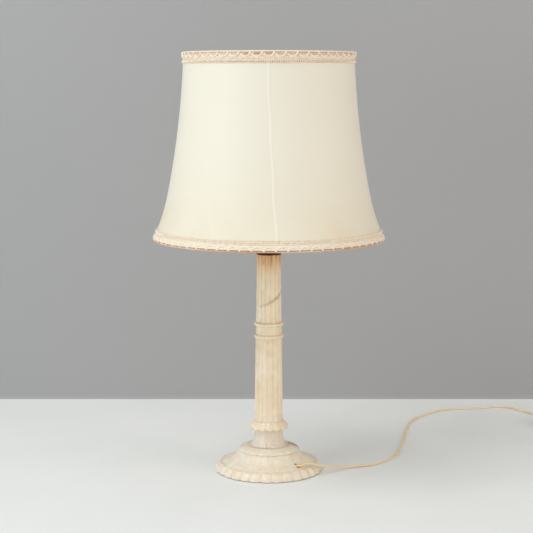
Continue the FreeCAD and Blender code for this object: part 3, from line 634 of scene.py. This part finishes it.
# %% [markdown]
# ## Metal, mouldings and felt
#
# The pieces inside the column and under the shade keep their hard shapes,
# which are plain turned or bent parts, and get their finishes. The cap on the
# column is black iron with rust on it, and the holder is dark moulded resin.
# The wire frame is dipped in white. They could all be plain colours, but then
# they would look like toys from below, where the shade hides nothing.

# %% Iron, steel and brass
iron = Recipe("black_iron", (38, 34, 31), Metallic=0.55)
rusty = iron.patches(210, 5, 0.50, 0.66, warp=0.5)
iron.tones(iron.times(rusty, 0.55), (38, 34, 31), (112, 66, 38))
iron.gloss(iron.spread(rusty, 0, 1, (0.42, 0.85)))
iron.relief(iron.cloud(480), 0.15, 0.6)

steel = Recipe("zinc", (196, 197, 192), Metallic=1.0)
flakes = steel.add("TexVoronoi", {"Vector": steel.here, "Scale": 420.0}, out="Color")
steel.colour(steel.add("MixRGB", {"Fac": 0.12, "Color1": chart(192, 193, 188), "Color2": flakes}))
steel.gloss(steel.patches(120, 3, 0.3, 0.7, (0.3, 0.5)))

brass = Recipe("brass", (214, 180, 106), Metallic=1.0)
dull = brass.patches(140, 4, 0.4, 0.7)
brass.tones(dull, (218, 186, 112), (172, 132, 74))
brass.gloss(brass.spread(dull, 0, 1, (0.24, 0.46)))
brass.relief(brass.cloud(1, 2, at=brass.stretch(80, 80, 1500)), 0.03, 0.4)

# %% Resin, ceramic and white wire
resin = Recipe("dark_resin", (44, 34, 28), Coat_Weight=0.25, Coat_Roughness=0.15)
resin.tones(resin.patches(45, 5, 0.42, 0.62, warp=2.5), (34, 27, 23), (72, 48, 34))
resin.gloss(resin.patches(200, 3, 0.4, 0.7, (0.22, 0.36)))

ceramic = Recipe("glazed_ceramic", (236, 233, 224), Roughness=0.18)
ceramic.tones(ceramic.patches(160, 3, 0.5, 0.7), (238, 236, 228), (222, 216, 202))
ceramic.relief(ceramic.cloud(260, 2), 0.08, 0.3)

wire = Recipe("white_wire", (236, 233, 224))
yellowed = wire.patches(90, 4, 0.52, 0.72)
wire.tones(wire.times(yellowed, 0.5), (238, 236, 229), (206, 192, 166))
wire.gloss(wire.spread(yellowed, 0, 1, (0.3, 0.5)))
wire.relief(wire.cloud(300, 3), 0.12, 0.4)

vitrite = Recipe("black_vitrite", (26, 26, 28))
vitrite.gloss(vitrite.patches(300, 3, 0.4, 0.7, (0.1, 0.25)))

# %% Felt and cream mouldings
felt = Recipe("felt", (62, 72, 52), Roughness=0.95, Sheen_Weight=0.5, Sheen_Roughness=0.5)
fluff = felt.cloud(900)
felt.tones(felt.spread(fluff, 0.3, 0.7), (52, 62, 44), (84, 94, 70))
felt.relief(fluff, 0.5, 0.8)

cream = Recipe("cream_moulding", (228, 212, 180), Coat_Weight=0.1, Coat_Roughness=0.2,
               Subsurface_Weight=0.08, Subsurface_Scale=0.002)
cream.tones(cream.patches(34, 4, 0.35, 0.7), (232, 218, 190), (218, 198, 160))
cream.gloss(cream.patches(130, 3, 0.35, 0.7, (0.24, 0.4)))
cream.relief(cream.cloud(800, 2), 0.04, 0.4)

# %% Dress the hard pieces
dress(iron, "top_cap")
dress(steel, "stem_tube", "clamp_washer", "clamp_nut", "bulb_button")
dress(brass, "holder_sleeve", "holder_contact", "terminal_screws", "plug_pins")
dress(resin, "holder_foot", "holder_shell")
dress(ceramic, "holder_insert")
dress(vitrite, "bulb_insulator")
dress(wire, "shade_carrier", "frame_bottom_ring", "frame_top_ring")
dress(felt, "felt_pad")
dress(cream, "switch_base", "switch_cover", "switch_rocker", "plug_body")

# %% [markdown]
# ## Clamp rings and bulb
#
# Two ribbed rings on the holder grip the shade's carrier between them. The
# ribs are for fingers, so they are modelled, with the fluting tool. The bulb
# is a pearl one: glass that is etched inside and glows like milk where light
# falls on it. Its cap has a rolled thread, drawn here as rings.

# %% Ribbed rings
RIBS, RING_BORE = 36, 19.8
rings = (("shade_ring_lower", 356.3, "lamp"), ("shade_ring_upper", 364.7, "clamp_ring"))
for name, low, body in rings:
    ring = reeded(name + "_ribbed", RIBS, 0, [
        (24.2, low), (24.8, low + 0.4), (25, low + 1), (25, low + 6), (24.8, low + 6.6),
        (24.2, low + 7)], 0.7, bore=RING_BORE, sides=4)
    smooth(ring, 30)
    fit(ring, body, "holder_moulding", resin, name)

# %% Pearl bulb
pearl = Recipe("pearl_glass", (244, 244, 238), Coat_Weight=0.5, Coat_Roughness=0.05)
pearl.tones(pearl.patches(30, 2, 0.3, 0.7), (246, 246, 241), (238, 237, 230))
pearl.gloss(pearl.patches(500, 2, 0.3, 0.7, (0.18, 0.26)))

OUTSIDE, INSIDE, BULB_WIDEST = 30, 29.2, 441
bulb = turned("bulb_pearl", [
    (0, BULB_WIDEST + INSIDE), (INSIDE, BULB_WIDEST, -INSIDE), (25.29, 426.4, -INSIDE),
    (11.7, 392, 60), (11.7, 376), (12.5, 376), (12.5, 392), (25.98, 426, -60),
    (OUTSIDE, BULB_WIDEST, OUTSIDE), (0, BULB_WIDEST + OUTSIDE, OUTSIDE)],
    steps=72, step=2, poles=True)
smooth(bulb, 60)
fit(bulb, "bulb", "bulb_glass", pearl, "bulb_glass")

# %% Threaded bulb cap
THREAD_PITCH, THREAD_FOOT, THREAD_LONG, THREAD_POINTS = 3.63, 367.6, 15, 32
silver = Recipe("bright_cap", (206, 206, 204), Metallic=1.0)
silver.tones(silver.patches(170, 3, 0.45, 0.7), (208, 208, 206), (170, 168, 162))
silver.gloss(silver.patches(300, 3, 0.3, 0.7, (0.2, 0.36)))
thread = [(9, 366), (12, 366), (12.9, 367)]
for number in range(THREAD_POINTS + 1):
    above = THREAD_LONG * number / THREAD_POINTS
    wave = math.cos(2 * math.pi * (above - 1) / THREAD_PITCH)
    thread.append((12.95 + 0.15 * wave, THREAD_FOOT + above))
thread += [(12.95, 383.4), (13.1, 386), (12.7, 386), (12.55, 383), (12.55, 366.6), (9, 366.4)]
cap = turned("bulb_cap_threaded", thread, steps=64)
smooth(cap, 50)
fit(cap, "bulb", "bulb_cap", silver, "bulb_cap")

# %% [markdown]
# ## Shade
#
# The shade is thin cream silk stretched over a stiff lining in the shape of a
# bell, with a sewn seam down the front that leans a little. Stretched cloth
# hangs in no folds, so a simulation would only return the bell that the
# lining gives it. The cloth is turned instead and then pulled a little out of
# true, with a crease low on the left and a pucker under the top braid.

# %% Outline of the bell
BELL = [(173.2, 359.2), (165.7, 375.6), (150.3, 430, -300), (127.0, 616.9, -1300), (126.9, 633.3)]
MEAN_RADIUS = 150


def layer(inset, thick):
    """A closed profile of one layer of the bell."""
    back = [BELL[4][:2], BELL[3][:2], (*BELL[2][:2], 1300), (*BELL[1][:2], 300), BELL[0][:2]]
    return ([(corner[0] - inset, *corner[1:]) for corner in BELL]
            + [(corner[0] - inset - thick, *corner[1:]) for corner in back])


def unwrap(piece):
    """A map in metres: across is the way round the shade, up is the height."""
    mesh = piece.data
    sheet = mesh.uv_layers.new(name="cloth")
    for face in mesh.polygons:
        middle = math.atan2(face.center.y, face.center.x)
        for corner in face.loop_indices:
            place = mesh.vertices[mesh.loops[corner].vertex_index].co
            angle = math.atan2(place.y, place.x)
            angle += 2 * math.pi * round((middle - angle) / (2 * math.pi))
            sheet.data[corner].uv = (angle * MEAN_RADIUS * MM, place.z)


# %% Slack in the silk
def bump_at(bearing, height, centre, level, wide, tall, lean):
    """A smooth bump, 1 at its middle, that leans by degrees for each millimetre up."""
    across = (bearing - centre - lean * (height - level) + 180) % 360 - 180
    return math.exp(-(across / wide) ** 2 - ((height - level) / tall) ** 2)


def slack(bearing, height):
    """How far the silk stands off its lining, in millimetres."""
    long_wave = 0.10 * math.sin(math.radians(bearing * 7 + height * 0.9))
    short_wave = 0.07 * math.sin(math.radians(bearing * 17 - height))
    crease = 0.55 * bump_at(bearing, height, -33, 396, 1.3, 18, -0.13)
    pucker = 0.5 * bump_at(bearing, height, 33, 600, 0.9, 12, 0.05)
    return 0.15 + long_wave + short_wave + crease + pucker


def ripple(piece):
    """Move each point of the silk out by its slack."""
    for vertex in piece.data.vertices:
        place = vertex.co
        bearing = math.degrees(math.atan2(place.x, -place.y))
        around = math.hypot(place.x, place.y)
        shift = slack(bearing, place.z / MM) * MM
        place.x += place.x / around * shift
        place.y += place.y / around * shift


# %% Silk
silk = Recipe("shade_silk", (238, 232, 214), Roughness=0.5, Sheen_Weight=0.12, Sheen_Roughness=0.4)
flat = silk.add("TexCoord", {}, out="UV")
warp = silk.cloud(1, 3, at=silk.stretch(1400, 22, 1, flat))
weft = silk.cloud(1, 3, at=silk.stretch(26, 1500, 1, flat))
slub = silk.cloud(1, at=silk.stretch(7, 320, 1, flat))
bands = silk.patches(1, 3, 0.35, 0.7, (0, 0.32), at=silk.stretch(46, 1.6, 1, flat))
tone = silk.tint(silk.spread(slub, 0.45, 0.75), chart(237, 233, 217), (232, 224, 203))
tone = silk.tint(bands, tone, (229, 217, 192))
height = silk.rise()
tone = silk.tint(silk.spread(height, 500 * MM, 370 * MM, (0, 0.45)), tone, (229, 220, 192))
near_foot = silk.spread(height, 430 * MM, 372 * MM, (0, 0.6))
tone = silk.tint(silk.times(near_foot, silk.patches(13, 3, 0.42, 0.66)), tone, (226, 210, 178))
tone = silk.tint(silk.times(silk.marked("doubled"), 0.6), tone, (246, 242, 229))
silk.colour(tone)
weave = silk.relief(silk.calc("ADD", warp, weft), 0.12, 0.5)
silk.relief(slub, 0.18, 0.35, weave)

cover = turned("silk_cover", layer(0, 0.6), steps=240, step=3)
ripple(cover)
unwrap(cover)
smooth(cover, 40)
fit(cover, "shade", "shade_silk", silk, "shade_cover")


# %% Sewn seam
def on_bell(height):
    """Radius of the bell at a height, read from the turned profile."""
    line = [(point[0], point[2]) for point in trace(BELL, 4)]
    for (r1, z1), (r2, z2) in zip(line, line[1:]):
        if z1 <= height <= z2:
            return r1 + (r2 - r1) * (height - z1) / (z2 - z1)


SEAM_FOOT, SEAM_HEAD, SEAM_POINTS, SEAM_HALF = 372, 620, 60, 1.5
seam_line = []
for number in range(SEAM_POINTS + 1):
    height = SEAM_FOOT + (SEAM_HEAD - SEAM_FOOT) * number / SEAM_POINTS
    bearing = math.radians(3.6 - 4.5 * number / SEAM_POINTS + 0.25 * math.sin(number * 0.35))
    reach = on_bell(height) + 0.25 + slack(math.degrees(bearing), height)
    seam_line.append((reach * math.sin(bearing) - SEAM_HALF, -reach * math.cos(bearing), height))
seam = drawn("silk_seam", seam_line)
extrude((SEAM_HALF, -0.15, 0))
extrude((SEAM_HALF, 0.12, 0))
select_mesh()
extrude((0, 0.5, 0))
close_up()
unwrap(seam)
mark(seam, "doubled", lambda place: 1)
smooth(seam, 60)
fit(seam, "shade", "shade_silk", silk)

# %% Lining
card = Recipe("lining_card", (238, 233, 218), Roughness=0.8)
card.tones(card.patches(9, 4, 0.35, 0.7), (240, 236, 223), (229, 219, 196))
card.relief(card.cloud(700, 3), 0.08, 0.5)
lining = turned("shade_lining_card", layer(0.85, 1.0), steps=192, step=6)
smooth(lining, 40)
fit(lining, "shade", "shade_lining", card, "shade_lining")

# %% [markdown]
# ## Braid
#
# A woven braid hides the raw edges of the silk at the top and the foot. From
# the fabric to the edge it is a thin cord, a row of tiny beads of thread, a
# plain ribbed band, then a row of leaning loops with gold thread between
# them, darker there as painted shade under the loops, and a twisted cord on
# the very edge, which is gold at the foot. One bead and one loop are modelled
# and copied round. A picture of braid on a flat band would look flat from the
# side, where the loops make the outline.


# %% Braid thread
def thread_recipe(name, light, dark, ribs, faded=None):
    """Twisted thread in two tones; faded is a third one, in wide patches."""
    made = Recipe(name, light, Roughness=0.8, Sheen_Weight=0.3, Sheen_Roughness=0.4)
    tone = made.tint(made.patches(260, 4, 0.4, 0.7), chart(*light), dark)
    if faded:
        tone = made.tint(made.patches(16, 2, 0.42, 0.58, (0.1, 0.8)), tone, faded)
    made.colour(tone)
    spin = made.add("TexWave", {
        "Vector": made.here, "Scale": ribs, "Distortion": 6.0, "Detail": 2.0,
        "Detail Scale": 3.0}, out="Fac", bands_direction="DIAGONAL")
    twist = made.relief(spin, 0.25, 0.6)
    made.relief(made.cloud(1500, 2), 0.15, 0.5, twist)
    return made


pale_thread = thread_recipe("braid_cream", (248, 239, 222), (238, 222, 196), 260)
web_thread = thread_recipe("braid_web", (243, 227, 203), (228, 204, 172), 320)
bronze_thread = thread_recipe("braid_bronze", (206, 154, 110), (172, 120, 80), 300)
gold_thread = thread_recipe("braid_gold", (216, 168, 128), (190, 136, 98), 300, (236, 210, 182))


# %% Cords, beads and loops
def laid(thread):
    """Put a new primitive's place and size into its mesh and give it a thread."""
    bpy.ops.object.transform_apply(location=True, rotation=True, scale=True)
    coat(bpy.context.object, thread)
    return bpy.context.object


def hoop(place, thick, thread):
    """A cord all round the shade at a place (radius, height)."""
    clear()
    bpy.ops.mesh.primitive_torus_add(
        major_radius=place.x * MM, minor_radius=thick * MM, major_segments=160, minor_segments=7,
        location=(0, 0, place.y * MM))
    return laid(thread)


def bead_row(place, size, tilt, thread, count, sides):
    """A row of long beads round the shade."""
    clear()
    bpy.ops.mesh.primitive_uv_sphere_add(
        segments=sides, ring_count=sides // 2 + 1, radius=MM, scale=size, rotation=(-tilt, 0, 0),
        location=(0, -place.x * MM, place.y * MM))
    bead = laid(thread)
    take_mesh(bead)
    copy_round(count)
    return bead


def loop_row(place, half, lean, tilt, rise, thread, count):
    """A row of arches round the shade, each 2 x half wide, that lean by degrees."""
    clear()
    bpy.ops.mesh.primitive_torus_add(
        major_radius=half * 0.9 * MM, minor_radius=1.55 * MM, major_segments=20, minor_segments=7,
        rotation=(math.radians(90), 0, 0))
    loop = laid(thread)
    take_mesh(loop)
    bpy.ops.mesh.bisect(plane_co=(0, 0, 0), plane_no=(0, 0, rise), use_fill=True, clear_inner=True)
    select_mesh()
    bpy.ops.transform.resize(value=(1, 0.85, 0.72), center_override=(0, 0, 0))
    bpy.ops.transform.rotate(value=math.radians(lean), orient_axis="Y", center_override=(0, 0, 0))
    bpy.ops.transform.rotate(value=tilt, orient_axis="X", center_override=(0, 0, 0))
    bpy.ops.transform.translate(value=(0, -place.x * MM, place.y * MM))
    select_mesh()
    copy_round(count)
    return loop


# %% Sew the braid on
def braid(name, inner, outer, loops, beads, lean, ground, edge):
    """Braid between two places (radius, height), from the fabric's side to the edge."""
    start, end = Vector(inner), Vector(outer)
    along = (end - start).normalized()
    width = (end - start).length
    rise = 1 if along.y < 0 else -1
    out = Vector((abs(along.y), along.x * rise))
    tilt = math.atan2(along.x, abs(along.y)) * rise

    def at(distance, proud):
        return start + along * distance + out * proud

    corners = [at(0.3, 0), at(0.3, 0.45), at(width - 1, 0.55), at(width - 1, 0)]
    band = turned(name + "_band", [tuple(corner) for corner in corners], steps=160, step=2.2)
    coat(band, web_thread)
    cords = (
        (0.4, 0.4, 0.35, web_thread), (2.5, 0.1, 0.9, ground), (4.7, 0.5, 0.55, pale_thread),
        (6.2, 0.45, 0.5, web_thread), (7.6, 0.5, 0.55, pale_thread),
        (width - 9.2, 0.6, 0.7, pale_thread), (width - 2.5, 0.5, 0.5, bronze_thread),
        (width - 1.15, 0.35, 1.15, edge))
    parts = [band]
    for distance, proud, thick, thread in cords:
        parts.append(hoop(at(distance, proud), thick, thread))
    bead_place = at(2.5, 1.0)
    half = math.pi * bead_place.x / loops
    parts += [
        bead_row(bead_place, (1.0, 0.9, 1.6), tilt, pale_thread, beads, 8),
        loop_row(at(width - 2.6, 1.1), half, lean, tilt, rise, pale_thread, loops),
        # A flat gold patch in each loop's hollow: gold thread, and painted shade under the loop.
        bead_row(at(width - 4.2, 0.6), (half * 0.6, 0.5, 1.8), tilt, gold_thread, loops, 10)]
    clear()
    for part in parts:
        part.select_set(True)
    bpy.context.view_layer.objects.active = band
    bpy.ops.object.join()
    band.name = name
    smooth(band, 50)
    return band


top_trim = braid("top_trim", (127.1, 616.9), (126.95, 634.4), 48, 250, 14,
                 bronze_thread, pale_thread)
fit(top_trim, "shade", "braid", None, "top_braid")
foot_trim = braid("foot_trim", (on_bell(SEAM_FOOT) + 0.6, SEAM_FOOT), (172.5, 355.6), 64, 330, 7,
                  web_thread, gold_thread)
fit(foot_trim, "shade", "braid", None, "bottom_braid")

# %% [markdown]
# ## The flex
#
# A table lamp has about 1.8 m of light twin flex. It leaves a hole in the
# base, turns at once along the rim and wanders over the table. What the
# picture does not show is wound into a neat coil beyond its right edge, with
# the switch before it and the plug after it. The line is a smooth spline
# through a few listed points, and the skin is a flat section with a groove,
# carried along that line. A plain round bevel would look like a hose.

# %% Lay the flex's line
LEAST_STEP = 1.6


def spline_line(name, points):
    """Places along a smooth curve in metres, from its control points in millimetres.

    Places closer together than LEAST_STEP are left out.
    """
    curve = bpy.data.curves.new(name, "CURVE")
    curve.dimensions = "3D"
    curve.resolution_u = 10
    spline = curve.splines.new("NURBS")
    spline.points.add(len(points) - 1)
    for knot, place in zip(spline.points, points):
        knot.co = (place[0] * MM, place[1] * MM, place[2] * MM, 1)
    spline.order_u = 3
    spline.use_endpoint_u = True
    holder = bpy.data.objects.new(name, curve)
    mesh = bpy.data.meshes.new_from_object(holder)
    full = [vertex.co.copy() for vertex in mesh.vertices]
    bpy.data.objects.remove(holder)
    bpy.data.meshes.remove(mesh)
    print("%s: %.3f m" % (name, sum((b - a).length for a, b in zip(full, full[1:]))))
    line = full[:1]
    for place in full[1:-1]:
        if min((place - line[-1]).length, (place - full[-1]).length) > LEAST_STEP * MM:
            line.append(place)
    return line + full[-1:]


LOW = 1.45
lamp_route = [
    (38.66, -41.89, 16.6), (46.46, -50.34, 17.2), (55.8, -42.3, 20.2), (66, -39, 18.3),
    (77.5, -33.5, 14.4), (86.4, -28.1, 11.4), (96.5, -21.6, 8.6), (106, -13.7, 6.5),
    (116.6, -5.5, 4.7), (139.9, 6.1, 2.7), (157.3, 12.6, 1.8), (169.8, 23.2, LOW),
    (181.3, 34.8, LOW), (190.8, 49.6, LOW), (202.8, 68.7, LOW), (210.8, 100.2, LOW),
    (220, 144.1, LOW), (228.3, 188, LOW), (236.4, 234.5, LOW), (246.2, 283.8, LOW),
    (261.3, 315.3, LOW), (282.3, 342.4, LOW), (301.9, 363.9, LOW), (325.5, 379.7, LOW),
    (353.5, 385.6, LOW), (380.6, 387, LOW), (405.6, 395.5, LOW), (424.7, 400, LOW),
    (440.7, 392.1, LOW), (451.1, 378, LOW), (461.6, 362.7, LOW), (473.1, 343.5, LOW),
    (480.6, 327.5, 2.5), (484.4, 312.5, 5.3), (485, 300, 6.5), (485, 290, 6.5)]

# %% Wind the coil
COIL_CENTRE, COIL_OUT, COIL_IN, LAYER = (514.8, 190), 29.8, 16, 4.6
TURNS, CROSSING, POINTS_PER_TURN, DIP = 3, 0.5, 14, 1.2
# A spline runs inside its control points, so they stand further out.
OUTSET = 1.025
tail_route = [(485, 228, 6.5), (485, 219, 6.5), (485, 205, LOW), (485, 194, LOW)]
for step in range(int((2 * TURNS + CROSSING) * POINTS_PER_TURN) + 1):
    turns = step / POINTS_PER_TURN
    share = min(max((turns - TURNS) / CROSSING, 0), 1)
    inward, outward = min(turns, TURNS), max(turns - TURNS - CROSSING, 0)
    radius = COIL_OUT - (COIL_OUT - COIL_IN) / TURNS * (inward - outward)
    radius = (radius - DIP * math.sin(math.pi * share)) * OUTSET
    angle = math.pi + 2 * math.pi * turns
    tail_route.append((
        COIL_CENTRE[0] + radius * math.cos(angle), COIL_CENTRE[1] + radius * math.sin(angle),
        LOW + 0.6 + LAYER * (1 - math.cos(math.pi * share)) / 2))
tail_route += [(544.6, 194, 6.65), (544.6, 203, 6.65), (546.9, 214, 5.95), (548, 225, 6.65),
               (548, 234, 6.65)]
lamp_line = spline_line("lamp_line", lamp_route)
tail_line = spline_line("tail_line", tail_route)

# %% Give the flex its skin
FLEX_WIDE, FLEX_THICK, FLEX_SIDES = 4.6, 2.8, 24


def flex_section():
    """Two round cores side by side, as (across, up) in millimetres."""
    ring = []
    for side in range(FLEX_SIDES):
        angle = 2 * math.pi * (side + 0.5) / FLEX_SIDES
        across, up = math.cos(angle), math.sin(angle)
        lift = FLEX_THICK / 2 * up * (0.72 + 0.28 * min(1, abs(across) * 1.9))
        ring.append((FLEX_WIDE / 2 * across, lift))
    return ring


def skin_along(name, line):
    """A closed tube: the flex's section stands square to the line at each point."""
    section = flex_section()
    count = len(section)
    verts, faces = [], []
    for index, place in enumerate(line):
        ahead = line[min(index + 1, len(line) - 1)] - line[max(index - 1, 0)]
        ahead.normalize()
        side = ahead.cross(Vector((0, 0, 1))).normalized()
        up = side.cross(ahead)
        for across, lift in section:
            verts.append(place + side * across * MM + up * lift * MM)
    for index in range(len(line) - 1):
        for side in range(count):
            a = index * count + side
            b = index * count + (side + 1) % count
            faces.append((a, b, b + count, a + count))
    last = (len(line) - 1) * count
    faces += [tuple(range(count - 1, -1, -1)), tuple(range(last, last + count))]
    mesh = bpy.data.meshes.new(name)
    mesh.from_pydata(verts, [], faces)
    piece = bpy.data.objects.new(name, mesh)
    bpy.context.collection.objects.link(piece)
    take_mesh(piece)
    bpy.ops.mesh.normals_make_consistent(inside=False)
    bpy.ops.object.mode_set(mode="OBJECT")
    smooth(piece, 50)
    return piece


# %% [markdown]
# The flex's sheath is cream plastic that has yellowed a little and unevenly.
# It is glossier than cloth and duller than glass, with faint dirt along it.

# %% Sheath
sheath = Recipe("flex_sheath", (226, 205, 168), Roughness=0.42, Subsurface_Weight=0.1,
                Subsurface_Scale=0.002, Coat_Weight=0.15, Coat_Roughness=0.3)
smudge = sheath.patches(150, 3, 0.55, 0.75)
tone = sheath.tint(sheath.patches(26, 3, 0.35, 0.65), chart(248, 229, 187), (239, 210, 158))
sheath.colour(sheath.tint(sheath.times(smudge, 0.35), tone, (204, 174, 130)))
sheath.gloss(sheath.spread(smudge, 0, 1, (0.38, 0.6)))
sheath.relief(sheath.cloud(420, 2), 0.08, 0.4)

lamp_flex = skin_along("lamp_flex", lamp_line)
tail_flex = skin_along("tail_flex", tail_line)
fit(lamp_flex, "lamp", "flex", sheath, "flex_free")
fit(tail_flex, "lamp", "flex", sheath, "flex_to_coil", "flex_coil", "flex_to_plug")

# %% [markdown]
# ## Table and light
#
# A pale table stands under a large soft lamp from the upper left, with a
# weaker cool one low on the left, a warm one from the right, and an even grey
# light all round. The table runs back and curves up into a plain backdrop,
# which is painted darker, so that the pale shade stands out against it. A
# white backdrop would swallow the shade's outline. Seen from behind, the
# backdrop is clear, so that the lamp can be looked at all round.

# %% Paint the table
FAR, TABLE_END, CURVE, CURVE_STEPS = 2600, 460, 8, 12

paint = Recipe("table_paint", (232, 233, 228), Roughness=0.7)
top = paint.tint(paint.patches(5, 4, 0.3, 0.7), chart(240, 241, 238), (235, 237, 233))
behind = paint.spread(paint.rise("Y"), (TABLE_END + 2.5) * MM, (TABLE_END + 3.5) * MM)
paint.colour(paint.tint(behind, top, (163, 163, 163)))
paint.relief(paint.cloud(300, 3), 0.1, 0.2)
from_behind = paint.add("NewGeometry", {}, out="Backfacing")
clear_paint = paint.add("BsdfTransparent", {})
one_sided = paint.add("MixShader", {0: from_behind, 1: paint.shader.outputs[0], 2: clear_paint})
paint.join(one_sided, paint.tree.nodes["Material Output"].inputs["Surface"])

# %% Lay the table
sweep = [(-FAR, -FAR, 0), (-FAR, TABLE_END, 0)]
for step in range(1, CURVE_STEPS + 1):
    angle = math.radians(90 * step / CURVE_STEPS)
    sweep.append((-FAR, TABLE_END + CURVE * math.sin(angle), CURVE - CURVE * math.cos(angle)))
sweep.append((-FAR, TABLE_END + CURVE, FAR))
table = drawn("table", sweep)
extrude((2 * FAR, 0, 0))
bpy.ops.object.mode_set(mode="OBJECT")
faces = table.data.polygons
# The new faces come in no fixed order, so all of them are asked for their side.
if sum(face.normal.z * face.area for face in faces) < 0:
    table.data.flip_normals()
smooth(table, 60)
coat(table, paint)
print("table faces up and forward:", all(face.normal.z > face.normal.y for face in faces))

# %% Hang the lights
LIT = Vector((0, 0, 0.3))


def soft_light(name, place, size, power, colour):
    """A round lamp at a place in metres, turned towards the middle of the object."""
    lamp = bpy.data.lights.new(name, "AREA")
    lamp.shape = "DISK"
    lamp.size = size
    lamp.energy = power
    lamp.color = colour
    holder = bpy.data.objects.new(name, lamp)
    holder.location = place
    holder.rotation_euler = (LIT - Vector(place)).to_track_quat("-Z", "Y").to_euler()
    bpy.context.collection.objects.link(holder)
    print("light:", name, power, "W")


soft_light("window", (-1.5, -0.9, 2.8), 1.8, 34, (0.955, 0.98, 1.0))
soft_light("left_fill", (-2.0, -1.5, 0.6), 1.2, 11, (0.90, 0.955, 1.0))
soft_light("bounce", (2.1, -1.1, 0.9), 1.8, 13, (1.0, 0.82, 0.69))
even = bpy.data.worlds.new("even_light")
bpy.context.scene.world = even
even.use_nodes = True
glow = even.node_tree.nodes["Background"].inputs
glow["Color"].default_value = (0.82, 0.83, 0.85, 1)
glow["Strength"].default_value = 0.78
bpy.context.scene.view_settings.view_transform = "Standard"
